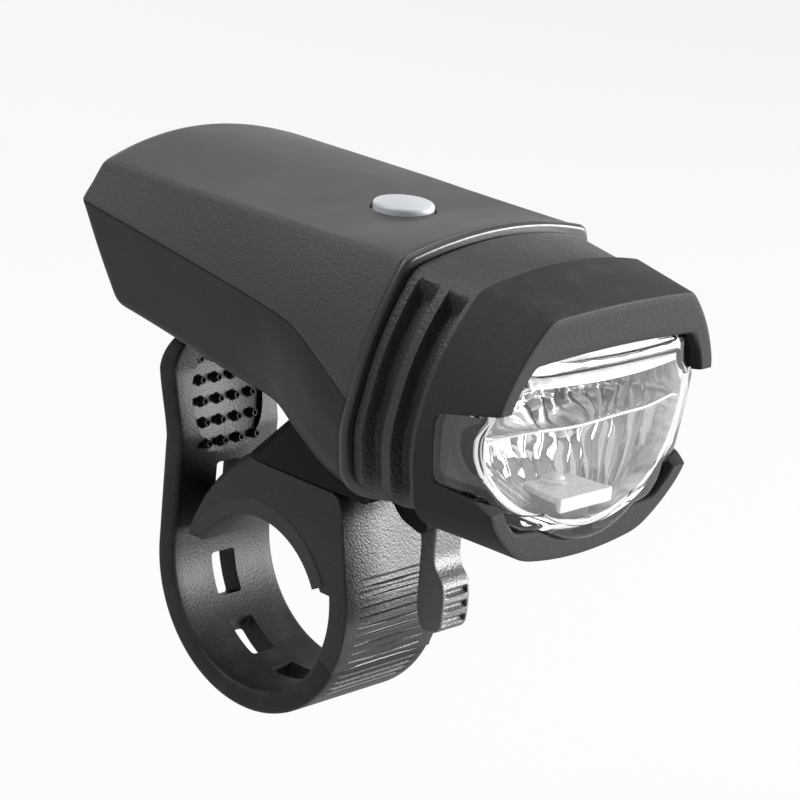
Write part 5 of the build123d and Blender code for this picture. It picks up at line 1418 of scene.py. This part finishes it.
@dataclass
class Button:
    """The frosted push button: a low cap with a soft edge, its flange and its stem."""

    y: float = LampBody.hole_y
    radius: float = 4.2
    top_z: float = 60.55
    crown: float = 0.35
    edge: float = 0.55
    flange: tuple[float, float, float] = (5.1, 56.35, 56.95)
    stem: tuple[float, float] = (1.0, 1.2)

    def build(self, wardrobe: "Wardrobe") -> None:
        """Makes the cap, a turned profile whose crown is a shallow parabola and its edge an arc."""
        wide, low, high = self.flange
        stem, drop = self.stem
        r = np.linspace(0, self.radius - self.edge, 10)
        crown = np.stack([r, self.top_z - self.crown * (r / self.radius) ** 2], -1)
        a = np.linspace(0, np.pi / 2, 7)[1:, None]
        rim = crown[-1] + self.edge * np.concatenate([np.sin(a), np.cos(a) - 1], 1)
        foot = np.array([(self.radius, high), (wide, high), (wide, low), (stem, low),
                         (stem, low - drop), (0.0, low - drop)])
        profile = np.concatenate([crown, rim, foot])
        piece = Skin().grid(turned(profile, (0.0, self.y, 0.0), 72)).piece("button", 35.0)
        wardrobe.fit(piece, Slot.frosted_cap, "button", "button_cap")


# Bracket

@dataclass
class Loop:
    """The round loop that the saddle's front wall and the strap share."""

    centre: tuple[float, float] = (1.2175, 3.0134)
    inner: float = 16.0
    outer: float = 19.4
    half: float = 9.8
    rib_first: float = 168.0
    rib_step: float = 4.2
    rib_count: int = 13
    rib_half: float = 7.0
    rib_radius: float = 0.36
    rib_height: float = 0.34
    recess: float = 0.22

    def point(self, turn: float, radius: float) -> tuple[float, float]:
        """A (y, z) point of the loop."""
        y, z = self.centre
        return y + radius * np.cos(np.radians(turn)), z + radius * np.sin(np.radians(turn))

    def ribs(self, turn: Array) -> Array:
        """How far the rib panel stands out at given angles: steep bars over a recessed floor."""
        number = np.clip(np.round((turn - self.rib_first) / self.rib_step), 0, self.rib_count - 1)
        s = np.radians(np.abs(turn - self.rib_first - number * self.rib_step)) * self.outer
        bar = self.rib_height * np.clip((self.rib_radius - s) / 0.1, 0, 1)
        last = self.rib_first + (self.rib_count - 1) * self.rib_step
        within = np.minimum(turn - self.rib_first, last - turn) + self.rib_step
        panel = np.clip(within / 0.3, 0, 1)
        return panel * (bar - self.recess)


@dataclass
class Saddle:
    """The saddle over the bar, its front wall, hook and liner."""

    loop: Loop
    top_z: float = 20.7
    rear_top_y: float = 5.0
    rear_middle: tuple[float, float] = (11.3, 13.9)
    tip: tuple[float, float] = (14.4, 5.8)
    nose: tuple[tuple[float, float], ...] = ((-13.3, 20.7), (-14.9, 20.0), (-15.6, 18.6))
    wall_turn: float = 169.4
    hinge_turn: float = 205.0
    bore: float = 14.0
    ridge: float = 3.0
    edge: float = 0.35
    swivel_y: float = -4.0
    swivel_boss: tuple[tuple[float, float], ...] = (
        (0.0, 19.5), (4.5, 19.5), (4.5, 23.1), (4.2, 23.4), (0.0, 23.4))
    hook: tuple[float, float, float] = (11.5, 18.5, 9.2)
    hook_half: float = 1.95
    liner_inner: float = 12.8
    liner_outer: float = 15.05

    def block(self) -> bpy.types.Object:
        """The saddle with its round rear ridge and the upper ribs.

        The rear runs from the tip to the top as the quadratic curve through its middle point. The
        front wall runs straight from the nose to the loop's tangent, and then round the loop to the
        hinge. The rounding of the end edges is widest on the rear ridge, and fades where the tip
        and the hinge would make the end faces cross themselves.
        """
        loop = self.loop
        steps = 26
        a, b, c = map(np.array, (self.tip, self.rear_middle, (self.rear_top_y, self.top_z)))
        rear = bent(a, 2 * b - 0.5 * (a + c), c, np.linspace(0, 1, steps)[:, None])
        curved = arc(self.wall_turn, self.hinge_turn, loop.outer, 160, loop.centre)
        wall = np.concatenate([np.linspace(self.nose[-1], curved[0], 81)[1:-1], curved])
        away = wall - np.array(loop.centre)
        angles = np.mod(np.degrees(np.arctan2(away[:, 1], away[:, 0])), 360.0)
        first = steps + len(self.nose)
        foot = first + len(wall)
        inside = arc(self.hinge_turn, 170.0, loop.inner, 24, loop.centre)
        bore = arc(155.5, 24.5, self.bore, 60)
        outline = np.concatenate([rear, self.nose, wall, inside, bore])
        reach = np.full(len(outline), self.edge)
        reach[steps:first] = 0.15
        over_bore = np.hypot(rear[:, 0], rear[:, 1]) - self.bore
        reach[:steps] = np.clip(0.42 * over_bore, 0.2, self.ridge)
        reach[:8] = np.minimum(reach[:8], np.linspace(0.15, 1.2, 8))
        reach[foot - 12:foot] = np.linspace(self.edge, 0.04, 12)
        reach[foot:] = 0.25
        pull = -normals(outline) * reach[:, None]
        pull[steps - 1] = (-1.3 * reach[steps - 1], 0.0)
        raised = np.zeros(len(outline))
        raised[first:foot] = loop.ribs(angles)
        columns = np.array([-1.0, -0.757, -0.75, -0.4, 0.0, 0.4, 0.75, 0.757, 1.0])
        skin = loaf(Skin(), outline, pull, loop.half, columns, raised, loop.rib_half)
        root, y, z = self.hook
        hook = rounded([(y, z - 0.9), (y, z + 0.6), (y - 0.5, z + 1.0), (root, z + 1.0),
                        (root, z - 1.0)], [0.3] * 5, 3, closed=True)
        loaf(skin, hook, -normals(hook) * 0.25, self.hook_half)
        skin.grid(turned(np.array(self.swivel_boss), (0.0, self.swivel_y, 0.0), 40))
        return skin.piece("saddle")

    def liner(self) -> bpy.types.Object:
        """The rubber liner: a channel carried round the bar, with a thin flange on both sides."""
        half, low, lip, top = self.loop.half, self.liner_inner, self.liner_outer, self.bore - 0.02
        right = np.array([(half + 0.12, low), (half + 0.14, lip - 0.1), (half, lip),
                          (half - 0.1, top)])
        ring = np.concatenate([[(0.0, low - 0.1), (half - 0.3, low - 0.1)], right, [(0.0, top)],
                               right[::-1] * (-1, 1), [(-half + 0.3, low - 0.1)]])
        turn = np.radians(np.linspace(27.0, 153.0, 70))
        x, r = ring[:, :1], ring[:, 1:]
        points = np.stack([x + 0 * turn, r * np.cos(turn), r * np.sin(turn)], -1)
        return Skin().grid(points, wrap=True, ends=True).piece("bar_liner")

    def build(self, wardrobe: "Wardrobe") -> None:
        """Makes and dresses the pieces."""
        wardrobe.fit(self.block(), Slot.bracket_plastic, "saddle", "clamp_saddle")
        wardrobe.fit(self.liner(), Slot.pad_rubber, "saddle", "saddle_pad")


@dataclass
class Strap:
    """The flexible strap: ribs, slots, and the pull tab with its studded dish."""

    loop: Loop
    start_turn: float = 205.0
    bend_z: float = 19.0
    flare_z: float = 28.5
    top_z: float = 34.2
    flare: float = 2.4
    nose: float = 0.8
    corner: float = 6.0
    edge: float = 0.7
    slot: tuple[float, float] = (4.5, 6.5)
    slot_turns: tuple[float, ...] = (-21.0, -58.0, -95.0)
    slot_middle: float = 17.7
    hook_slot_z: float = 7.9
    dish: tuple[float, float, float] = (6.8, 8.6, 0.7)
    stud_pitch: float = 3.1
    stud_profile: tuple[tuple[float, float], ...] = (
        (0.0, 0.75), (0.2, 0.75), (0.3, 0.95), (0.36, 1.12), (0.46, 1.15), (0.56, 1.06),
        (0.62, 0.6), (0.70, 0.2), (0.9, 0.0), (0.9, -0.25), (0.0, -0.25))

    def side_view(self) -> tuple[Array, Array, Array]:
        """The strap's side view.

        It follows the loop, rises straight to bend_z and leans back from there, with a smooth
        start, to flare_z, above which its outer side leans in by a parabola.

        Returns:
            Angles of the stations on the loop, and (y, z) points of all stations' inner and outer
            sides.
        """
        loop = self.loop
        turns = np.concatenate([np.linspace(self.start_turn, 232.0, 130),
                                np.linspace(232.0, 360.0, 90)[1:]])
        inner = np.stack(loop.point(turns, loop.inner), -1)
        outer = np.stack(loop.point(turns, loop.outer), -1)
        top = self.flare_z + (self.top_z - self.flare_z) * np.sin(np.linspace(0, np.pi / 2, 16)[1:])
        z = np.concatenate([np.linspace(loop.centre[1], self.bend_z, 24)[1:],
                            np.linspace(self.bend_z, self.flare_z, 18)[1:], top])
        s = np.clip((z - self.bend_z) / (self.flare_z - self.bend_z), 0, 1)
        lean = self.flare * (0.35 * (3 * s ** 2 - 2 * s ** 3) + 0.65 * s)
        slim = self.nose * np.clip((z - self.flare_z) / (self.top_z - self.flare_z), 0, 1) ** 2
        y = loop.centre[0] + loop.inner + lean
        inner = np.concatenate([inner, np.stack([y, z], -1)])
        outer = np.concatenate([outer, np.stack([y + loop.outer - loop.inner - slim, z], -1)])
        return turns, inner, outer

    def band(self) -> bpy.types.Object:
        """The strap as a rounded rectangle carried along its side view.

        Each station joins an inner and an outer point. Near the top the half width falls off as the
        quarter of a circle.
        """
        loop = self.loop
        turns, inner, outer = self.side_view()
        over = np.clip((inner[:, 1] - self.top_z + self.corner) / self.corner, 0, 1)
        half = loop.half - self.corner * (1 - np.sqrt(1 - over ** 2 * 0.999))
        thick = np.linalg.norm(outer - inner, axis=1)[:, None]
        a = np.linspace(0, np.pi / 2, 5)
        flat = np.array([0.25, 0.5, 0.75, 0.757, 0.85, 1.0])
        flat = np.concatenate([-flat[::-1], [0.0], flat])
        r = np.minimum(self.edge, thick * 0.4)
        straight = half[:, None] - r
        side, rise = straight + r * np.sin(a), r * (1 - np.cos(a)) / thick
        level, up, down = flat * straight, rise[:, 1:], rise[:, :0:-1]
        x = np.concatenate([level, side[:, 1:], side[:, :0:-1]], 1)
        x = np.concatenate([x, -x], 1)
        v = np.concatenate([0 * level, up, 1 - down, 0 * level + 1, 1 - up, down], 1)
        raised = np.zeros((len(inner), 1))
        raised[:len(turns), 0] = loop.ribs(turns)
        lift = raised / thick * (np.abs(x) <= loop.rib_half) * (v > 0.99)
        yz = inner[:, None] + (outer - inner)[:, None] * (v + lift)[..., None]
        points = np.concatenate([x[..., None], yz], -1)
        # Lighter strap edges on the rounded sides: wear, and also a painted highlight along those
        # edges.
        wear_and_highlight = np.clip(1.2 - 6 * np.abs(np.abs(v - 0.5) - 0.42), 0, 1) * (np.abs(x) > straight)
        skin = Skin().grid(points.transpose(1, 0, 2), wrap=True, ends=True, rub=wear_and_highlight.T)
        piece = skin.piece("strap")
        for cutter in self.slot_cutters():
            carve(piece, cutter)
        carve(piece, self.dish_tool())
        return bevelled(piece, 0.16, 50.0)

    def slot_cutters(self) -> list[bpy.types.Object]:
        """A rounded upright prism for each slot, square to the strap."""
        wide, long = self.slot
        frames = [(self.loop.point(turn, self.slot_middle), turn) for turn in self.slot_turns]
        frames.append(((self.loop.centre[0] + self.slot_middle, self.hook_slot_z + long / 2), 0.0))
        corners = np.array([(1, -1), (1, 1), (-1, 1), (-1, -1)]) * (wide / 2, long / 2)
        ring = rounded(corners, [0.6] * 4, 4, closed=True)
        made = []
        for (y, z), turn in frames:
            c, s = np.cos(np.radians(turn)), np.sin(np.radians(turn))
            out, along = np.array([0.0, c, s]), np.array([0.0, -s, c])
            flat = np.array([0.0, y, z]) + ring[:, :1] * (1, 0, 0) + ring[:, 1:] * along
            rows = np.stack([flat - 4.0 * out, flat + 4.0 * out], 1)
            made.append(Skin().grid(rows, wrap=True, ends=True).piece("slot"))
        return made

    def on_tab(self, x: Array, up: Array, out: Array) -> Array:
        """Points of the pull tab, from the grip's middle on its front face.

        Args:
            x: how far across.
            up: how far up along the leaning face.
            out: how far out of that face.

        Returns:
            The points.
        """
        rise = self.flare_z - self.bend_z
        along = np.array([0.0, self.flare, rise]) / np.hypot(self.flare, rise)
        middle = np.array([0.0, self.loop.centre[0] + self.loop.inner + self.flare / 2,
                           (self.bend_z + self.flare_z) / 2])
        facing = np.array([0.0, -along[2], along[1]])
        return middle + x[..., None] * (1.0, 0, 0) + up[..., None] * along + out[..., None] * facing

    def dish_tool(self) -> bpy.types.Object:
        """An oval lens-edged plug to carve the dish with."""
        wide, tall, deep = self.dish
        turn = np.linspace(0, 2 * np.pi, 65)[:-1, None]
        depth = np.array([[-deep, -deep, -deep * 0.7, 0.0, 2.0]])
        size = np.array([[0.0, 0.93, 0.985, 1.0, 1.03]])
        points = self.on_tab(wide * np.cos(turn) * size, tall * np.sin(turn) * size,
                             depth + 0 * turn)
        return Skin().grid(points, wrap=True, ends=True).piece("dish")

    def studs(self) -> bpy.types.Object:
        """The grip's round studs inside the dish, each a turned profile with a hollow top."""
        wide, tall, deep = self.dish
        r, height = np.array(self.stud_profile).T
        turn = np.linspace(0, 2 * np.pi, 17)[:, None]
        skin = Skin()
        for row in range(-2, 3):
            for column in range(4):
                x, y = (column - 1.5) * self.stud_pitch, row * self.stud_pitch
                if (x / wide) ** 2 + (y / tall) ** 2 < 1:
                    skin.grid(self.on_tab(x + np.cos(turn) * r, y + np.sin(turn) * r,
                                          height - deep + 0 * turn))
        return skin.piece("grip_studs")

    def build(self, wardrobe: "Wardrobe") -> None:
        """Makes and dresses the pieces."""
        wardrobe.fit(self.band(), Slot.strap_rubber, "strap", "clamp_strap")
        wardrobe.fit(self.studs(), Slot.strap_rubber, "strap")


@dataclass
class Shoe:
    """The swivelling shoe under the lamp, the lever's cheeks, and the lever with its pin."""

    form: LampForm
    foot: float = 20.85
    floor: float = 24.7
    top: float = 33.4
    rear_y: float = 5.2
    front_y: float = -19.7
    half: float = 9.8
    ridge: float = 3.0
    ridge_pull: float = 1.38
    rear_slope: float = 1.02
    front_edge: float = 0.15
    channel_half: float = 5.9
    channel_top: float = 27.3
    mouth_half: float = 4.1
    stop_y: float = -1.9
    pocket: tuple[tuple[float, float], ...] = (
        (0.0, 19.0), (4.56, 19.0), (4.56, 23.34), (5.85, 23.34), (5.85, 26.0), (0.0, 26.0))
    cheek_half: float = 4.6
    cheek_gap: float = 3.2
    pivot: tuple[float, float] = (-24.8, 19.3)
    pin_radius: float = 0.9
    lever_half: float = 2.9
    eye: float = 2.0
    grooves: tuple[float, ...] = (9.3, 7.2, 5.1)
    groove_half: float = 0.62
    groove_rear: float = -28.0
    groove_depth: float = 0.6
    groove_reach: float = 2.1

    def body(self) -> bpy.types.Object:
        """The shoe, cut to the lamp's belly, with the rail's channel and the pivot's pocket."""
        rear_top = self.rear_y - self.rear_slope * (self.top - self.foot)
        outline = np.array([(self.rear_y, self.foot), (rear_top, self.top),
                            (self.front_y, self.top), (self.front_y, self.foot)])
        pull = -normals(outline) * self.front_edge
        pull[:2] = [(-self.ridge_pull * self.ridge, 0.0)] * 2
        piece = loaf(Skin(), outline, pull, self.half, steps=8).piece("shoe")
        places = np.linspace(self.form.rim_y - 1.9, 30.0, 60)
        belly = self.form.ring(places, self.form.body, -0.7)
        carve(piece, Skin().grid(belly, wrap=True, ends=True).piece("belly"))
        for half, low, high in ((self.channel_half, self.floor, self.channel_top),
                                (self.mouth_half, self.channel_top - 0.3, 40.0)):
            carve(piece, brick(-half, half, -26.0, self.stop_y, low, high))
        pocket = turned(np.array(self.pocket), (0.0, Saddle.swivel_y, 0.0), 48)
        carve(piece, Skin().grid(pocket).piece("pocket"))
        return bevelled(piece, 0.12, 40.0)

    def cheeks(self) -> bpy.types.Object:
        """Two slim cheeks, joined behind the lever's eye."""
        y, z = self.pivot
        outline = rounded([(-17.5, 21.0), (-17.5, 24.6), (y + 1.0, 21.4), (y - 1.6, 20.9),
                           (y - 2.0, z - 1.0), (y - 0.8, z - 2.0), (y + 3.0, z - 0.9),
                           (-20.0, 20.2)],
                          [0.1, 0.1, 0.8, 0.9, 0.8, 0.8, 1.0, 0.6], 4, closed=True)
        skin = loaf(Skin(), outline, -normals(outline) * 0.3, self.cheek_half)
        piece = skin.piece("lever_cheeks")
        carve(piece, brick(-self.cheek_gap, self.cheek_gap, y - 6.0, y + 2.4, z - 6.0, z + 6.0))
        return bevelled(piece, 0.15, 50.0)

    def lever(self) -> bpy.types.Object:
        """The thumb lever: an eye, a slim arm, and a grip with three grooves across its front.

        A groove's depth is the cosine of s quarter turns, with s the distance from its middle as a
        share of its half width, and it ends short of both sides.
        """
        y, z = self.pivot
        eye = arc(-35.0, 180.0, self.eye, 20, self.pivot)
        front = rounded([(y - self.eye, z), (y - self.eye, 12.6), (-29.1, 10.6), (-29.3, 7.0),
                         (-29.1, 3.9), (-27.2, 3.0), (-25.6, 3.2), (-24.4, 6.0), (-24.2, 16.2),
                         eye[0]],
                        [0.0, 2.0, 1.6, 2.0, 1.3, 1.2, 1.3, 2.0, 1.4, 0.0], 8)
        line = np.concatenate([eye, front[1:-1]])
        closed = np.concatenate([line, line[:1]])
        step = np.linalg.norm(np.diff(closed, axis=0), axis=1)
        along = np.concatenate([[0.0], np.cumsum(step)])
        fine = np.linspace(0, along[-1], 320)[:-1]
        outline = np.stack([np.interp(fine, along, closed[:, k]) for k in (0, 1)], -1)
        groove = np.zeros(len(outline))
        for middle in self.grooves:
            s = np.abs(outline[:, 1] - middle) / self.groove_half
            s = np.where(outline[:, 0] > self.groove_rear, 1, np.clip(s, 0, 1))
            groove -= self.groove_depth * np.cos(np.pi / 2 * s)
        columns = (-1.0, -0.96, -0.88, -0.5, 0.0, 0.5, 0.88, 0.96, 1.0)
        skin = loaf(Skin(), outline, -normals(outline) * 0.55, self.lever_half, columns, groove,
                    self.groove_reach)
        return skin.piece("lever", 50.0)

    def pin(self) -> bpy.types.Object:
        """The lever's pin, with domed ends that stay inside the cheeks."""
        half = self.cheek_half - 0.15
        a = np.linspace(0, np.pi / 2, 5)
        x, r = -half + 0.3 * np.sin(a), self.pin_radius * np.sin(a) ** 0.5
        x, r = np.concatenate([x, -x[::-1]]), np.concatenate([r, r[::-1]])
        turn = np.linspace(0, 2 * np.pi, 25)[:-1, None]
        points = np.stack([x + 0 * turn, self.pivot[0] + r * np.cos(turn),
                           self.pivot[1] + r * np.sin(turn)], -1)
        return Skin().grid(points, wrap=True).piece("lever_pin_dark")

    def build(self, wardrobe: "Wardrobe") -> None:
        """Makes and dresses the pieces."""
        # The shoe and cheeks wear shoe_plastic, whose dark tone is painted shade from the lamp
        # above.
        wardrobe.fit(self.body(), Slot.shoe_plastic, "shoe", "mount_shoe")
        wardrobe.fit(self.cheeks(), Slot.shoe_plastic, "shoe")
        # lever_plastic's lighter tone is painted light standing in for the front lamp's sheen.
        wardrobe.fit(self.lever(), Slot.lever_plastic, "lever", "release_lever")
        wardrobe.fit(self.pin(), Slot.pin_steel, "shoe", "lever_pin")


# Studio

@dataclass(frozen=True)
class Softbox:
    """An oblong soft lamp: its place, the point it looks at, its size in metres and its watts."""

    name: str
    place: tuple[float, float, float]
    aim: tuple[float, float, float]
    size: tuple[float, float]
    power: float

    def build(self) -> None:
        """Makes the lamp."""
        data = bpy.data.lights.new(self.name, "AREA")
        data.shape, data.size, data.size_y, data.energy = "RECTANGLE", *self.size, self.power
        made = linked(self.name, data)
        made.location = self.place
        line = Vector(self.aim) - Vector(self.place)
        made.rotation_euler = line.to_track_quat("-Z", "Y").to_euler()


SOFTBOXES = (
    Softbox("top_softbox", (0.05, 0.1, 0.9), (0, 0, 0.04), (0.8, 0.8), 6.6),
    Softbox("left_softbox", (-0.62, 0.35, 0.7), (0, 0, 0.04), (0.6, 0.5), 7.8),
    Softbox("front_softbox", (0.70, -0.62, 0.09), (0, 0, 0.02), (0.6, 0.18), 36.0),
    Softbox("rear_softbox", (0.40, 0.80, 0.22), (0, 0, 0.03), (0.5, 0.3), 0.9),
)


@dataclass
class Studio:
    """Camera, lamps, floor and world around the object."""

    place: tuple[float, float, float] = (-288.86, -282.06, 157.05)
    right: tuple[float, float, float] = (0.69566208, -0.71301456, 0.08754718)
    up: tuple[float, float, float] = (0.15817535, 0.2709122, 0.94951943)
    back: tuple[float, float, float] = (-0.70073877, -0.64669685, 0.30124467)
    lens: float = 135.785
    sensor: float = 36.0
    nearest: float = 0.02
    farthest: float = 20.0
    floor_z: float = -62.0
    floor_half: float = 1.5
    floor_tone: float = 0.4
    floor_rough: float = 0.8
    floor_glow: float = 0.8
    behind: tuple[float, float, float] = (0.70, 0.65, -0.30)
    behind_edge: tuple[float, float] = (0.55, 0.85)
    world_low: float = 0.05
    world_high: float = 0.5
    world_rise: tuple[float, float] = (-0.5, 0.9)

    def camera(self) -> None:
        """The camera at the photograph's viewing angle."""
        data = bpy.data.cameras.new("camera")
        data.lens, data.sensor_width = self.lens, self.sensor
        data.clip_start, data.clip_end = self.nearest, self.farthest
        made = linked("camera", data)
        turn = Matrix((self.right, self.up, self.back)).transposed().to_4x4()
        made.matrix_world = Matrix.Translation([c * MM for c in self.place]) @ turn
        bpy.context.scene.camera = made

    def world(self) -> None:
        """A pale world, brighter above.

        It looks white to the camera, and behind the object also in glossy and clear pieces.
        """
        made = bpy.data.worlds.new("studio")
        bpy.context.scene.world = made
        made.use_nodes = True
        made.node_tree.nodes.clear()
        net = Net(made.node_tree)
        path = net.put("LightPath").outputs
        way = net.put("TexCoord").outputs["Generated"]
        behind = net.put("VectorMath", {0: way, 1: self.behind}, operation="DOT_PRODUCT")
        bright = net.maths("MAXIMUM", path["Is Transmission Ray"], path["Is Glossy Ray"])
        there = net.ramp(behind.outputs["Value"], *self.behind_edge)
        seen = net.maths("MAXIMUM", path["Is Camera Ray"], net.maths("MULTIPLY", there, bright))
        up = net.put("SeparateXYZ", {0: way}).outputs["Z"]
        light = net.ramp(up, *self.world_rise, self.world_low, self.world_high)
        strength = net.put("Mix", {0: seen, 2: light, 3: 1.0}, data_type="FLOAT").outputs[0]
        back = net.put("Background", {"Color": grey(1.0), "Strength": strength})
        net.put("OutputWorld", {"Surface": back.outputs[0]})

    def floor(self) -> None:
        """A pale floor that keeps the object's shadow and looks nearly white to the camera."""
        mesh = bpy.data.meshes.new("floor")
        half, z = self.floor_half, self.floor_z * MM
        corners = [(-half, -half, z), (half, -half, z), (half, half, z), (-half, half, z)]
        mesh.from_pydata(corners, [], [(0, 1, 2, 3)])
        paint = Paint("floor")
        path = paint.put("LightPath").outputs
        bright = paint.maths("MAXIMUM", path["Is Transmission Ray"], path["Is Glossy Ray"])
        seen = paint.maths("MULTIPLY", paint.maths("MAXIMUM", path["Is Camera Ray"], bright),
                           self.floor_glow)
        glow = paint.put("Emission", {"Color": grey(1.0), "Strength": 1.0}).outputs[0]
        mixed = paint.put("MixShader", {0: seen, 1: paint.shader.outputs[0], 2: glow}).outputs[0]
        paint.join(mixed, paint.tree.nodes["Material Output"].inputs["Surface"])
        mesh.materials.append(paint.shade({"Base Color": grey(self.floor_tone),
                                           "Roughness": self.floor_rough}))
        linked("floor", mesh)

    def build(self) -> None:
        """Sets the whole studio up."""
        self.camera()
        self.world()
        self.floor()
        for softbox in SOFTBOXES:
            softbox.build()
        bpy.context.scene.view_settings.view_transform = "Standard"
        log.info("studio ready")


def main() -> None:
    """Builds the scene in order."""
    logging.basicConfig(level=logging.INFO, format="%(message)s")
    Studio().build()
    wardrobe = Wardrobe()
    for part in frame["record"]["subparts"]:
        wardrobe.dress(frame["nodes"][part["node"]], Slot[part["material_slot"]])
    log.info("frame dressed")
    form, loop = LampForm(), Loop()
    front = LampFront(form)
    for assembly in (LampBody(form), LampNeck(form), LightShelf(), front, Reflector(front),
                     Button(), Saddle(loop), Strap(loop), Shoe(form)):
        assembly.build(wardrobe)


if __name__ == "__main__":
    main()
